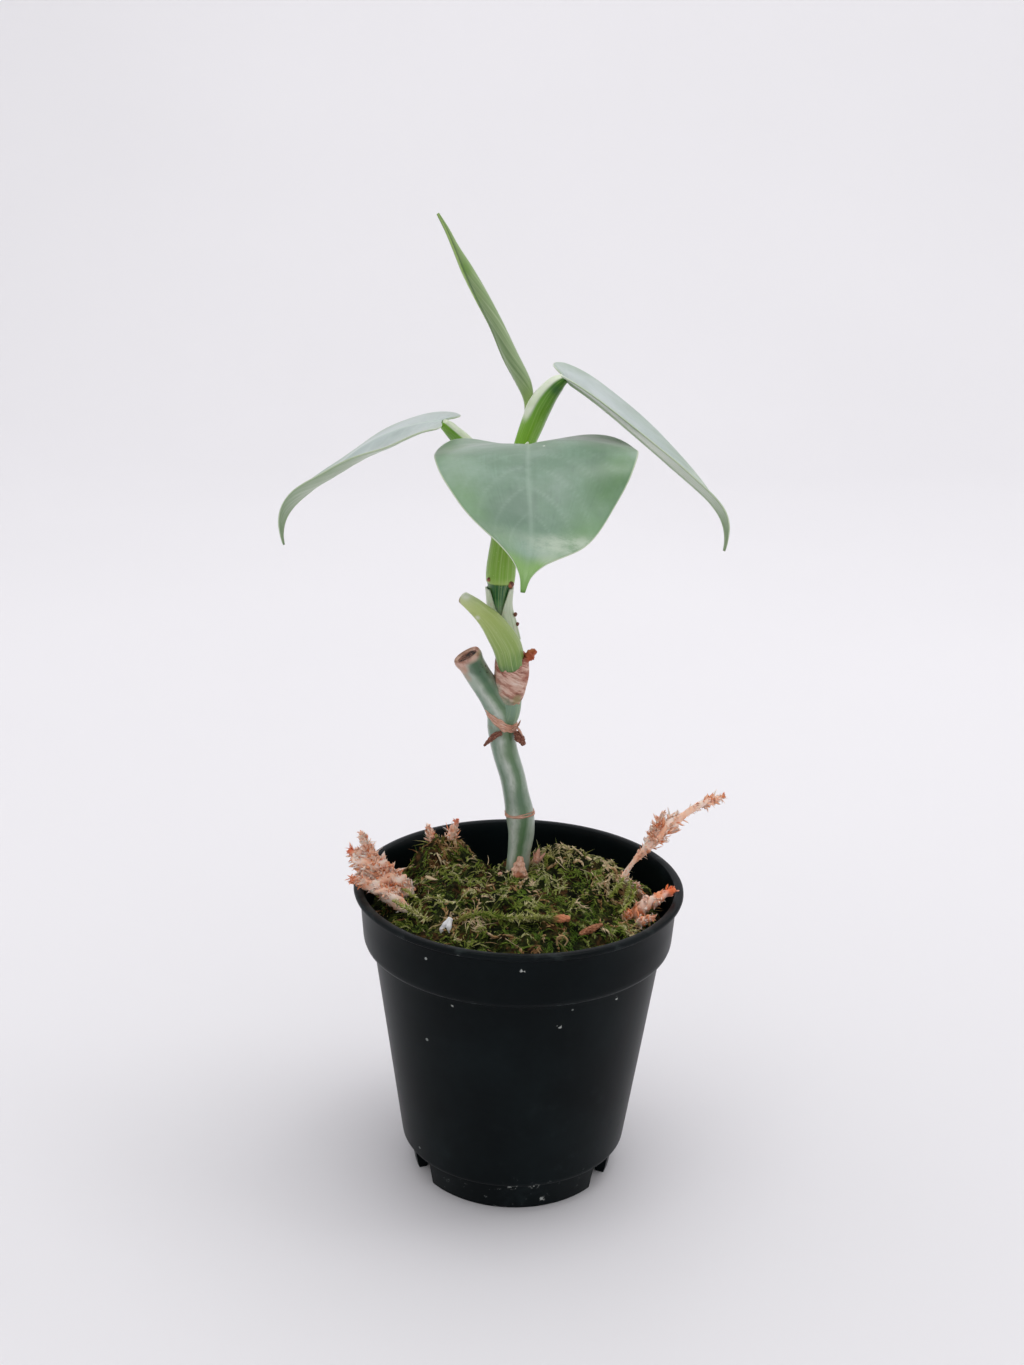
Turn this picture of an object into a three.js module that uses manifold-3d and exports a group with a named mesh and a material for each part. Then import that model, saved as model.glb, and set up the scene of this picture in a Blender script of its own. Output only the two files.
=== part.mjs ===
// A rooted philodendron cutting with three leaves and a rolled new one, in a plastic nursery pot.
// Millimetres, +Z up. The origin is the centre of the pot's base, and -Y is the front.
import * as THREE from "three";
import { mergeVertices } from "three/addons/utils/BufferGeometryUtils.js";
import Module from "manifold-3d";

const wasm = await Module();
wasm.setup();

// Driving dimensions
const seatGap = 0.3;
const weldDistance = 0.004;

const pot = {
  height: 96,
  lipRadius: 51,
  lipInnerRadius: 48.3,
  lipDepth: 1.9,
  bandTopRadius: 49,
  bandFootRadius: 48,
  bandFootHeight: 79.5,
  shoulderRadius: 44.8,
  shoulderHeight: 76,
  heelRadius: 35.6,
  heelHeight: 10.9,
  footTopRadius: 33.5,
  footTopHeight: 9.6,
  footRadius: 31.7,
  wall: 1.2,
  ledgeHeight: 77,
  floorUnderside: 1.6,
  floorTop: 3.2,
  bossRadius: 10,
  slotHeight: 9.5,
  slotDegrees: 18,
  slots: 3,
  drainHoles: 6,
  drainHoleRadius: 2.4,
  drainCircleRadius: 20,
  facets: 42,
};

const mix = { top: 78, facets: 24 };

const moss = {
  underside: 78.3,
  rimRadius: 46,
  crestHeight: 96,
  edgeHeight: 84.5,
  frontRise: 4,
  leftRise: 1.5,
  doming: 2.4,
  spokes: 44,
  rings: 10,
  lumps: 60,
  lumpRadius: [3, 6],
  lumpRise: [-1.5, 2.3],
  sprigs: 36,
  sprigLength: 4.2,
  sprigWidth: 1.2,
};

// Hummocks of the moss bed: x, y, radius and rise
const mossHummocks = [
  [-25.5, 21, 10.4, 9.5],
  [-36, 24, 7, 2.5],
  [12, 13, 13, 5.6],
  [27, 8, 12, 5.4],
  [42, 14, 9, 5],
  [-8, 36, 9, -10],
  [-8, 24, 7, -8.5],
  [-8, 14.5, 5, -6],
  [-28, -4, 9, 1.8],
  [4, -22, 13, 1.6],
];

const cane = {
  path: [[-3, 8, 52], [-1.4, 8, 74], [-0.8, 8, 86], [-0.6, 8, 95.5], [-0.1, 8, 102.5], [0.4, 8, 109.5],
    [-0.2, 8, 115.5], [-1.4, 8, 121.5], [-2.7, 8, 127.5], [-5.4, 8, 136.5], [-7.1, 8, 143.2], [-8.2, 7.9, 148],
    [-10.8, 7.4, 154], [-14.2, 6.9, 160.8], [-17.5, 6.2, 167.2]],
  radii: [3.4, 3.6, 3.6, 3.6, 3.6, 4.1, 4.4, 4, 3.9, 4, 4.5, 4.5, 4.05, 3.9, 4],
  facets: 14,
  buds: [[[-11.9, 5.5, 144.6], 1.3], [[0.9, 4.6, 112.6], 0.9]],
};

// Bark rings round the cane, between two shares of its length
const caneRing = { from: 0.425, to: 0.441, thickness: 0.6, wobble: 0.15, slant: 0.3 };
const caneCollar = { from: 0.755, to: 0.776, thickness: 0.9, wobble: -0.55, slant: 3.45 };

const rootPaths = [
  [[-2.6, 8, 57], [4, 10, 50], [14, 13, 40], [20, 12, 26], [24, 8, 12]],
  [[-2.8, 8, 56], [-9, 6, 48], [-18, 3, 36], [-22, -4, 22], [-18, -12, 10]],
  [[-2.9, 8, 55], [-4, 14, 45], [-6, 22, 33], [-2, 24, 18], [4, 20, 8]],
  [[-2.4, 8, 60], [0, 0, 52], [6, -10, 40], [10, -18, 24], [8, -22, 10]],
];
const rootRadii = [1.5, 1.3, 1.1, 0.9, 0.6];

const shoot = {
  path: [[-5, 8.6, 149], [-4.5, 8.9, 152.6], [-4.1, 9, 156.5], [-4.1, 9, 164.5], [-5.8, 10, 172.5],
    [-7.8, 10.4, 180.5], [-8, 10.5, 186], [-7.8, 10.6, 189.5], [-7.5, 11, 195.5], [-6.4, 11.8, 205],
    [-4.6, 12.9, 214.5], [-3.7, 13.4, 219]],
  radii: [3.3, 3, 2.8, 3.2, 3.3, 2.9, 3.3, 4.1, 4.2, 3.7, 2.6, 1.7],
  facets: 14,
  buds: [[[-11.4, 7.8, 190.2], 0.8], [[-4.6, 7.8, 188.6], 1]],
};

const petioleStub = {
  path: [[-4, 6.2, 164.4], [-5.3, 5, 170.2], [-7.8, 4, 174.8], [-10.5, 3, 178.8], [-13.2, 2.5, 181.6],
    [-15.3, 2, 183.6], [-18.3, 1.8, 185.9]],
  radii: [4.1, 4.3, 3.9, 3.3, 2.7, 2.4, 1.9],
  facets: 14,
};

const paperySheath = {
  path: [[-4.6, 8.4, 152.4], [-4.2, 8, 156.4], [-3.8, 7.8, 162], [-3.7, 7.7, 167.4]],
  radii: [3.9, 4.7, 5.2, 5],
  facets: 14,
};
const shootSheath = {
  path: [[-5.3, 9.7, 170.5], [-6.6, 10, 175.5], [-7.8, 10.4, 181], [-8, 10.4, 187.2]],
  radii: [4.1, 4.1, 3.9, 4.3],
  facets: 14,
};

const budScale = {
  path: [[0.8, 3.6, 94.4], [0.9, 3.1, 98], [1, 3.9, 101.6]],
  radii: [1.9, 1.7, 0.8],
  facets: 8,
};
const rootStub = {
  path: [[-6.6, 3.6, 143.6], [-9, 2.9, 141.6], [-11.8, 2.4, 139.4]],
  radii: [0.9, 1.1, 0.6],
  facets: 7,
};
const nodeNub = {
  path: [[-1.8, 5.4, 142.6], [-0.6, 4.6, 141.4], [0.6, 4.2, 139.6]],
  radii: [1.3, 1.7, 1],
  facets: 7,
};
const mossTwig = {
  path: [[1.6, -26, 95.4], [8, -26.4, 96.2], [14.4, -26.2, 96.4]],
  radii: [0.9, 0.8, 1.3],
  facets: 6,
};
const barkChip = {
  path: [[19, -27, 92.6], [21.6, -26.4, 93.8], [24.6, -26, 95]],
  radii: [0.8, 1.3, 0.7],
  facets: 5,
};
const whiteFleck = {
  path: [[-21.5, -26, 90.6], [-20.6, -26, 93], [-19.4, -25.6, 95.2]],
  radii: [0.9, 1.4, 0.7],
  facets: 5,
};

// Leaf stalks, each from the shoot to its blade
const petioles = {
  left: {
    path: [[-7.4, 11.6, 199], [-9, 11.2, 208], [-11.6, 10.9, 218.5], [-17.4, 12, 228.2], [-21.8, 10.6, 232.8],
      [-25.2, 8.6, 236.2]],
    radii: [2.9, 3, 2.8, 2.6, 2.3, 1.5],
    wing: [[-19, 11, 232.8], [-22, 9.8, 236], [-24.6, 8.6, 237.6]],
  },
  front: {
    path: [[-5.8, 9.2, 202], [-4.9, 6.4, 212], [-2.8, 2.4, 221.5], [-1.2, -1.6, 228.4], [-0.5, -3.9, 231.6]],
    radii: [3, 3, 2.7, 2.3, 1.9],
    wing: [[-1.8, -1, 232.2], [-0.9, -2.6, 233.4], [-0.6, -3.4, 233.6]],
  },
  right: {
    path: [[-5.5, 12.3, 209], [-3.6, 13.5, 218.5], [-1.8, 14.6, 229], [0.4, 15, 235.4], [2.5, 15.5, 240.8],
      [5, 15.9, 244.8], [7.4, 16, 247.5], [9.3, 16, 248.9]],
    radii: [3.9, 3.7, 3.1, 3.4, 3.6, 3.1, 2.5, 1.6],
    wing: [[1.2, 16.4, 242.6], [3.9, 16.4, 246.8], [8, 16.2, 249.6]],
  },
};
const petioleFacets = 12;
const wingThickness = 0.8;

// Half outline of a blade flattened out, as shares of its length: along the midrib and out from it
const bladeOutline = [[0, 0.035], [-0.055, 0.075], [-0.13, 0.15], [-0.165, 0.24], [-0.13, 0.34], [-0.02, 0.41],
  [0.14, 0.43], [0.32, 0.395], [0.5, 0.315], [0.67, 0.21], [0.8, 0.115], [0.88, 0.055], [0.94, 0.022],
  [1, 0.009]];

// Stations along a blade, as shares of its length, at which its bends are given in degrees
const bladeStations = [-0.3, 0, 0.25, 0.5, 0.78, 1.02];

const blades = {
  left: {
    length: 65.1,
    attach: [-25.7, 8, 237],
    pitch: [13, -6, -24, -42, -46, -112],
    heading: [177, 178, 179, 177, 174, 177],
    rightHalf: { width: 0.8, lobe: 0.41, fold: [-10, -1, -1, -1, 18, 30], curl: [-6, -3, -3, 4, 0, 1] },
    leftHalf: { width: 0.94, lobe: 0.11, fold: [4, 0, -16, -22, 6, 33], curl: [-2, 9, 37, 86, 99, 70] },
  },
  front: {
    length: 76.7,
    attach: [-0.5, -4, 232.6],
    pitch: [17, 13, -15, -34, -13, -48],
    heading: [-90, -89, -90, -86, -93, -99],
    rightHalf: { width: 0.8, lobe: 0.98, fold: [20, 3, 3, 7, 11, 12], curl: [3, -15, -19, -18, -10, -12] },
    leftHalf: { width: 0.93, lobe: 0.86, fold: [33, 16, 8, -6, -7, -2], curl: [-27, -31, -18, -13, -22, -18] },
  },
  right: {
    length: 73.8,
    attach: [9.5, 16, 249.2],
    pitch: [-14, -31, -39, -40, -47, -107],
    heading: [2, 1, 3, 2, 1, 3],
    rightHalf: { width: 0.84, lobe: 0.2, fold: [3, 6, 6, 8, 16, 40], curl: [1, 0, -1, 3, 3, -1] },
    leftHalf: { width: 0.87, lobe: 0.28, fold: [-11, 1, 7, 11, 8, -6], curl: [-4, 3, 2, -2, 0, 0] },
  },
};
const curlSpan = 30;
const midribSteps = 200;
const bladeThickness = 0.8;
const midribDepth = 0.8;
const bladeRows = 20;
const rowCrowding = 1.2;
const bladeColumns = [0, 0.07, 0.28, 0.52, 0.76, 1];

const newLeaf = {
  path: [[-1.6, 18, 234], [-0.8, 19, 239], [-0.9, 20, 242.2], [-2.2, 20.5, 246.5], [-6.4, 21, 254.5],
    [-10.8, 21.5, 263.6], [-15.4, 22, 271.7], [-19.6, 22, 279], [-23, 22, 285.1], [-25.5, 22, 289.9],
    [-28.1, 22, 294.2]],
  radii: [1, 1.2, 1.6, 2.2, 2.3, 2.05, 2.05, 1.75, 1.05, 0.75, 0.45],
  facets: 16,
  overlap: 0.16,
};

const driedMoss = {
  left: {
    seed: 5,
    scales: 22,
    stems: [
      { path: [[-30, 0, 86], [-35.5, -2, 92.2], [-41, -4, 97.6], [-47, -5, 103], [-52, -5, 107.4]],
        radii: [1.6, 2.4, 2.6, 2.2, 0.8] },
      { path: [[-43, -4.5, 100], [-46.8, -5, 108.8], [-48.4, -5, 113.4]], radii: [1.5, 1, 0.6] },
      { path: [[-25, -16, 85.6], [-33.3, -13, 90.6], [-40.5, -10.5, 95.6], [-46.6, -9.5, 98.6],
        [-51, -10.5, 100]],
        radii: [1, 1.7, 1.9, 1.6, 0.7] },
      { path: [[-36, -3, 93], [-38.5, -8, 94.5], [-40.5, -10.5, 95.6]], radii: [1.7, 1.6, 1.5] },
    ],
  },
  back: {
    seed: 11,
    scales: 8,
    stems: [
      { path: [[-25, 21, 92], [-27.6, 22, 98.5], [-29.6, 22.5, 104.6]], radii: [1.3, 1.3, 0.7] },
      { path: [[-25, 21, 92], [-22.4, 20.5, 100.5], [-20, 20, 108]], radii: [1.3, 1.5, 0.6] },
    ],
  },
  right: {
    seed: 17,
    scales: 20,
    stems: [
      { path: [[29, 1, 88], [31.5, 1.6, 95.5], [33.8, 2, 100], [37, 3, 104.4], [40.9, 4, 108.4],
        [46.4, 6, 113.9], [51.2, 7, 117.1], [57.7, 9, 120.6], [63.2, 11, 121.8]],
        radii: [1.3, 1.3, 1.2, 1.4, 1.6, 1.8, 1.5, 1.2, 0.6] },
      { path: [[39.6, 3.8, 107.3], [42.1, 5, 112.3], [44.4, 6, 118]], radii: [1.2, 1, 0.5] },
      { path: [[31.5, 1.6, 95.5], [36, 2.5, 93.5], [39, 4, 90]], radii: [1.4, 1.5, 1.1] },
    ],
  },
  tuft: {
    seed: 23,
    scales: 9,
    stems: [
      { path: [[33, -10, 84.5], [36.5, -9.5, 91.5], [41.5, -9, 95], [47.6, -8.6, 98.8]],
        radii: [1.5, 1.8, 1.7, 0.8] },
      { path: [[33, -10, 84.5], [37.8, -14.5, 90.5], [41.6, -17, 93.4]], radii: [1.5, 1.6, 0.7] },
      { path: [[33, -10, 84.5], [32.5, -12.5, 91.5], [30.6, -14, 95]], radii: [1.5, 1.4, 0.6] },
    ],
  },
};

const looks = {
  plastic: { color: 0x1b2222, roughness: 0.42 },
  mix: { color: 0x3a2a1e, roughness: 0.95 },
  moss: { color: 0x4e6428, roughness: 0.95 },
  dried: { color: 0xd79a78, roughness: 0.9 },
  cane: { color: 0x5f7f62, roughness: 0.5 },
  bark: { color: 0xb98a72, roughness: 0.85 },
  brown: { color: 0x5a3a30, roughness: 0.85 },
  stub: { color: 0x9fb24a, roughness: 0.45 },
  shoot: { color: 0x86a860, roughness: 0.45 },
  sheath: { color: 0xa9b98e, roughness: 0.55 },
  petiole: { color: 0x6fa22f, roughness: 0.4 },
  blade: { color: 0x7c9c8c, roughness: 0.42 },
  newLeaf: { color: 0x94a886, roughness: 0.45 },
  fleck: { color: 0xe8e8e4, roughness: 0.8 },
};

const vector = (point) => new THREE.Vector3(...point);
const radians = THREE.MathUtils.degToRad;

// A repeatable stream of numbers between 0 and 1
function seededDraw(seed) {
  let state = seed;
  return () => {
    state = (state * 1664525 + 1013904223) % 4294967296;
    return state / 4294967296;
  };
}

// Smooth value through given stations: cubic pieces whose slopes come from the neighbours
function smoothValue(stations, values, at) {
  const last = stations.length - 1;
  const x = Math.min(Math.max(at, stations[0]), stations[last]);
  let i = 0;
  while (i < last - 1 && x >= stations[i + 1]) i += 1;
  const slope = (k) => {
    const before = Math.max(k - 1, 0);
    const after = Math.min(k + 1, last);
    return (values[after] - values[before]) / (stations[after] - stations[before]);
  };
  const span = stations[i + 1] - stations[i];
  const t = (x - stations[i]) / span;
  return (2 * t ** 3 - 3 * t ** 2 + 1) * values[i] + (t ** 3 - 2 * t ** 2 + t) * span * slope(i)
    + (-2 * t ** 3 + 3 * t ** 2) * values[i + 1] + (t ** 3 - t ** 2) * span * slope(i + 1);
}

// Closed mesh to solid: shared corners merged, flat triangles dropped, faces turned outwards
function solidOf(geometry) {
  geometry.deleteAttribute("normal");
  geometry.deleteAttribute("uv");
  const merged = mergeVertices(geometry, 1e-4);
  const position = merged.getAttribute("position");
  const index = merged.index.array;
  const triangles = [];
  const [a, b, c] = [new THREE.Vector3(), new THREE.Vector3(), new THREE.Vector3()];
  let volume = 0;
  for (let i = 0; i < index.length; i += 3) {
    const corners = [index[i], index[i + 1], index[i + 2]];
    if (new Set(corners).size < 3) continue;
    triangles.push(corners);
    a.fromBufferAttribute(position, corners[0]);
    b.fromBufferAttribute(position, corners[1]);
    c.fromBufferAttribute(position, corners[2]);
    volume += a.dot(b.cross(c)) / 6;
  }
  const turned = volume < 0 ? triangles.map(([p, q, r]) => [p, r, q]) : triangles;
  return new wasm.Manifold(new wasm.Mesh({
    numProp: 3,
    vertProperties: new Float32Array(position.array),
    triVerts: new Uint32Array(turned.flat()),
  }));
}

function solidFrom(points, triangles) {
  const geometry = new THREE.BufferGeometry();
  const coordinates = points.flatMap((point) => point.toArray());
  geometry.setAttribute("position", new THREE.Float32BufferAttribute(coordinates, 3));
  geometry.setIndex(triangles.flat());
  return solidOf(geometry);
}

// Solid through a row of rings with as many points each, its ends closed by fans
function loft(rings) {
  const sides = rings[0].length;
  const points = rings.flat();
  const triangles = [];
  for (let i = 0; i < rings.length - 1; i += 1) {
    for (let j = 0; j < sides; j += 1) {
      const k = (j + 1) % sides;
      const [p, q, r, s] = [i * sides + j, i * sides + k, (i + 1) * sides + k, (i + 1) * sides + j];
      triangles.push([p, q, r], [p, r, s]);
    }
  }
  for (const [ring, turn] of [[0, false], [rings.length - 1, true]]) {
    const centre = rings[ring].reduce((sum, p) => sum.add(p), new THREE.Vector3()).divideScalar(sides);
    const hub = points.push(centre) - 1;
    for (let j = 0; j < sides; j += 1) {
      const [p, q] = [ring * sides + j, ring * sides + ((j + 1) % sides)];
      triangles.push(turn ? [hub, p, q] : [hub, q, p]);
    }
  }
  return solidFrom(points, triangles);
}

// Sections square to a path: position, two side directions and the radius there
function sectionsAlong(path, radii, stepsPerSpan) {
  const curve = new THREE.CatmullRomCurve3(path.map(vector), false, "centripetal");
  const steps = (path.length - 1) * stepsPerSpan;
  const points = Array.from({ length: steps + 1 }, (unused, i) => curve.getPoint(i / steps));
  let side = new THREE.Vector3(0, -1, 0);
  return points.map((centre, i) => {
    const forward = points[Math.min(i + 1, steps)].clone().sub(points[Math.max(i - 1, 0)]).normalize();
    side = side.clone().addScaledVector(forward, -side.dot(forward)).normalize();
    const across = new THREE.Vector3().crossVectors(forward, side);
    const radius = smoothValue(radii.map((unused, k) => k), radii, i / stepsPerSpan);
    return { centre, side, across, forward, radius, share: i / steps };
  });
}

// Round rod with its own radius at each point of the path. relief gives a factor by angle and share of length.
function rod({ path, radii, facets }, { grow = 0, stepsPerSpan = 1, relief = () => 1 } = {}) {
  const sections = sectionsAlong(path, radii, stepsPerSpan);
  const ringAt = (section, radius, shift) => Array.from({ length: facets }, (unused, j) => {
    const angle = (2 * Math.PI * j) / facets;
    const reach = radius * relief(angle, section.share);
    return section.centre.clone().addScaledVector(section.forward, shift)
      .addScaledVector(section.side, reach * Math.cos(angle))
      .addScaledVector(section.across, reach * Math.sin(angle));
  });
  const rings = sections.map((section) => ringAt(section, section.radius + grow, 0));
  const first = sections[0];
  const last = sections[sections.length - 1];
  rings.unshift(ringAt(first, (first.radius + grow) * 0.72, -0.3 * first.radius - grow));
  rings.push(ringAt(last, (last.radius + grow) * 0.72, 0.3 * last.radius + grow));
  return loft(rings);
}

// Bark ring round a rod, with a wavy edge and its left side up
function sleeve(stem, { from, to, thickness, wobble, slant }) {
  const sections = sectionsAlong(stem.path, stem.radii, 8).filter((s) => s.share >= from && s.share <= to);
  const ringAt = (section, reach) => Array.from({ length: stem.facets }, (unused, j) => {
    const angle = (2 * Math.PI * j) / stem.facets;
    const shift = wobble * Math.cos(2 * angle) - slant * Math.sin(angle);
    return section.centre.clone().addScaledVector(section.forward, shift)
      .addScaledVector(section.side, reach * Math.cos(angle))
      .addScaledVector(section.across, reach * Math.sin(angle));
  });
  const outer = loft(sections.map((section, i) => {
    const swell = Math.sin((Math.PI * (i + 0.6)) / (sections.length + 0.2));
    return ringAt(section, section.radius + seatGap + thickness * (0.55 + 0.45 * swell));
  }));
  return outer.subtract(rod(stem, { grow: seatGap }));
}

const grown = (stem, options = {}) => rod(stem, { ...options, grow: seatGap });

// The largest body of a solid, without loose scraps
function wholeOf(solid) {
  return solid.decompose().sort((one, other) => other.volume() - one.volume())[0];
}

function lathe(profile, facets) {
  const outline = profile.map(([radius, height]) => new THREE.Vector2(radius, height));
  const geometry = new THREE.LatheGeometry(outline, facets);
  geometry.rotateX(Math.PI / 2);
  return solidOf(geometry);
}

// Directions of a blade at a share of its length: along the midrib, out to its right, and up
function bladeFrame(blade, share) {
  const pitch = radians(smoothValue(bladeStations, blade.pitch, share));
  const heading = radians(smoothValue(bladeStations, blade.heading, share));
  const level = Math.cos(pitch);
  const forward = new THREE.Vector3(level * Math.cos(heading), level * Math.sin(heading), Math.sin(pitch));
  const side = new THREE.Vector3(Math.sin(heading), -Math.cos(heading), 0);
  return { forward, side, up: new THREE.Vector3().crossVectors(side, forward) };
}

// Block over the top of a stalk, down to just below the midrib of its blade
function spaceAboveStalk(blade) {
  const { forward, side, up } = bladeFrame(blade, 0);
  const [reach, depth] = [24, 10];
  const block = new THREE.BoxGeometry(reach, reach, depth);
  block.translate(0, 0, depth / 2 - bladeThickness / 2 - midribDepth - seatGap);
  block.applyMatrix4(new THREE.Matrix4().makeBasis(side, forward, up).setPosition(...blade.attach));
  return solidOf(block);
}

// Blade: midrib by its pitch and heading, halves that fold up from it and curl towards the margin
function bladeGrid(blade) {
  const start = bladeStations[0];
  const step = (bladeStations[bladeStations.length - 1] - start) / midribSteps;
  const midrib = [new THREE.Vector3()];
  for (let i = 0; i < midribSteps; i += 1) {
    const { forward } = bladeFrame(blade, start + (i + 0.5) * step);
    midrib.push(midrib[i].clone().addScaledVector(forward, step * blade.length));
  }
  const pointAt = (share) => {
    const place = Math.min(Math.max((share - start) / step, 0), midribSteps - 1e-6);
    const i = Math.floor(place);
    return midrib[i].clone().lerp(midrib[i + 1], place - i);
  };
  const shift = vector(blade.attach).sub(pointAt(0));

  const outline = new THREE.CatmullRomCurve3(bladeOutline.map((shares) => new THREE.Vector3(...shares, 0)));
  const margin = outline.getSpacedPoints(bladeRows);
  const surfacePoint = (half, sign, row, column) => {
    const share = row / bladeRows;
    const edge = margin[row];
    const edgeAlong = edge.x < 0 ? edge.x * half.lobe : edge.x;
    const along = share ** rowCrowding * (1 - column) + edgeAlong * column;
    const out = edge.y * half.width * column * blade.length;
    const fold = radians(smoothValue(bladeStations, half.fold, along));
    const bend = radians(smoothValue(bladeStations, half.curl, along)) / curlSpan || 1e-6;
    const { side, up } = bladeFrame(blade, along);
    return pointAt(along).add(shift)
      .addScaledVector(side, (sign * (Math.sin(fold + bend * out) - Math.sin(fold))) / bend)
      .addScaledVector(up, (Math.cos(fold) - Math.cos(fold + bend * out)) / bend);
  };
  return Array.from({ length: bladeRows + 1 }, (unused, row) => [
    ...bladeColumns.slice(1).reverse().map((column) => surfacePoint(blade.leftHalf, -1, row, column)),
    ...bladeColumns.map((column) => surfacePoint(blade.rightHalf, 1, row, column)),
  ]);
}

// Sheet with a thickness: both faces are split into triangles alike, and the midrib stands proud below
function bladeSolid(grid) {
  const rows = grid.length;
  const columns = grid[0].length;
  const middle = (columns - 1) / 2;
  const at = (i, j) => grid[Math.min(Math.max(i, 0), rows - 1)][Math.min(Math.max(j, 0), columns - 1)];
  const faces = grid.map((row, i) => row.map((point, j) => {
    const along = at(i + 1, j).clone().sub(at(i - 1, j));
    const across = at(i, j + 1).clone().sub(at(i, j - 1));
    const normal = across.cross(along).normalize();
    const rib = j === middle ? midribDepth * (1 - i / rows) : 0;
    return [
      point.clone().addScaledVector(normal, bladeThickness / 2),
      point.clone().addScaledVector(normal, -bladeThickness / 2 - rib),
    ];
  }));
  const points = faces.flat(2);
  const corner = (i, j, face) => (i * columns + j) * 2 + face;
  const triangles = [];
  for (let i = 0; i < rows - 1; i += 1) {
    for (let j = 0; j < columns - 1; j += 1) {
      const quad = [[i, j], [i, j + 1], [i + 1, j + 1], [i + 1, j]];
      const split = j < middle ? [[0, 1, 2], [0, 2, 3]] : [[0, 1, 3], [1, 2, 3]];
      for (const three of split) {
        const [p, q, r] = three.map((k) => quad[k]);
        triangles.push([corner(...p, 0), corner(...q, 0), corner(...r, 0)]);
        triangles.push([corner(...p, 1), corner(...r, 1), corner(...q, 1)]);
      }
    }
  }
  const border = [];
  for (let j = 0; j < columns - 1; j += 1) border.push([0, j]);
  for (let i = 0; i < rows - 1; i += 1) border.push([i, columns - 1]);
  for (let j = columns - 1; j > 0; j -= 1) border.push([rows - 1, j]);
  for (let i = rows - 1; i > 0; i -= 1) border.push([i, 0]);
  border.forEach((here, k) => {
    const next = border[(k + 1) % border.length];
    triangles.push([corner(...here, 0), corner(...here, 1), corner(...next, 1)]);
    triangles.push([corner(...here, 0), corner(...next, 1), corner(...next, 0)]);
  });
  return solidFrom(points, triangles);
}

// Thin fin from the axis of a rod out to a hand-placed edge
function wingSolid(stem, edge) {
  const root = stem.path.slice(-edge.length).map(vector);
  const outer = edge.map(vector);
  const along = root[2].clone().sub(root[0]);
  const flat = along.cross(outer[1].clone().sub(root[1])).setLength(wingThickness / 2);
  return loft(root.map((point, i) => [
    point.clone().add(flat), outer[i].clone().add(flat), outer[i].clone().sub(flat), point.clone().sub(flat)]));
}

// Three-sided scale that stands out of a stem, its root sunk in
function scaleSolid(root, direction, length, width) {
  const side = new THREE.Vector3(0, 0, 1).cross(direction).normalize();
  const lift = new THREE.Vector3().crossVectors(direction, side);
  const foot = root.clone().addScaledVector(direction, -width);
  const base = [
    foot.clone().addScaledVector(side, width).addScaledVector(lift, -width * 0.35),
    foot.clone().addScaledVector(side, -width).addScaledVector(lift, -width * 0.35),
    foot.clone().addScaledVector(lift, width * 0.7),
  ];
  const tip = root.clone().addScaledVector(direction, length);
  return solidFrom([...base, tip], [[0, 1, 2], [0, 3, 1], [1, 3, 2], [2, 3, 0]]);
}

function nurseryPot() {
  const { wall } = pot;
  const profile = [
    [0, 0], [pot.bossRadius, 0], [pot.bossRadius + 0.6, pot.floorUnderside],
    [pot.footRadius - 3, pot.floorUnderside], [pot.footRadius - 2.4, 0], [pot.footRadius - 0.4, 0],
    [pot.footRadius, 0.5], [pot.footTopRadius, pot.footTopHeight],
    [pot.heelRadius - 0.9, pot.footTopHeight + 0.3], [pot.heelRadius, pot.heelHeight],
    [pot.shoulderRadius, pot.shoulderHeight], [pot.shoulderRadius + 0.6, pot.shoulderHeight + 1.6],
    [pot.bandFootRadius - 1, pot.bandFootHeight - 1.6], [pot.bandFootRadius, pot.bandFootHeight],
    [pot.bandTopRadius, pot.height - pot.lipDepth - 0.5], [pot.lipRadius - 0.9, pot.height - pot.lipDepth],
    [pot.lipRadius, pot.height - pot.lipDepth * 0.7], [pot.lipRadius, pot.height - pot.lipDepth * 0.35],
    [pot.lipRadius - 0.7, pot.height], [pot.lipInnerRadius + 0.5, pot.height],
    [pot.lipInnerRadius - 0.3, pot.height - 0.6],
    [pot.bandTopRadius - wall - 0.5, pot.height - 3.4], [pot.bandFootRadius - wall, pot.bandFootHeight],
    [pot.bandFootRadius - wall - 0.5, pot.ledgeHeight + 0.6],
    [pot.shoulderRadius - wall, pot.ledgeHeight], [pot.heelRadius - wall, pot.heelHeight + 0.6],
    [pot.footTopRadius - wall - 0.4, pot.footTopHeight], [pot.footRadius - wall + 0.2, pot.floorTop],
    [0, pot.floorTop],
  ];
  let body = lathe(profile, pot.facets);
  const slotInner = pot.footRadius - 4;
  const slotOuter = pot.footTopRadius + 2;
  for (let i = 0; i < pot.slots; i += 1) {
    const middle = 90 + (360 / pot.slots) * i;
    const corners = [[slotInner, -1], [slotOuter, -1], [slotOuter, 1], [slotInner, 1]].map(([radius, sign]) => {
      const angle = radians(middle + (sign * pot.slotDegrees) / 2);
      return [radius * Math.cos(angle), radius * Math.sin(angle)];
    });
    const level = (height) => corners.map(([x, y]) => new THREE.Vector3(x, y, height));
    body = body.subtract(loft([level(-1), level(pot.slotHeight)]));
  }
  for (let i = 0; i < pot.drainHoles; i += 1) {
    const angle = (2 * Math.PI * i) / pot.drainHoles;
    const hole = new THREE.CylinderGeometry(pot.drainHoleRadius, pot.drainHoleRadius, 8, 10);
    hole.rotateX(Math.PI / 2);
    hole.translate(pot.drainCircleRadius, 0, pot.floorTop);
    hole.rotateZ(angle);
    body = body.subtract(solidOf(hole));
  }
  return body;
}

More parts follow.
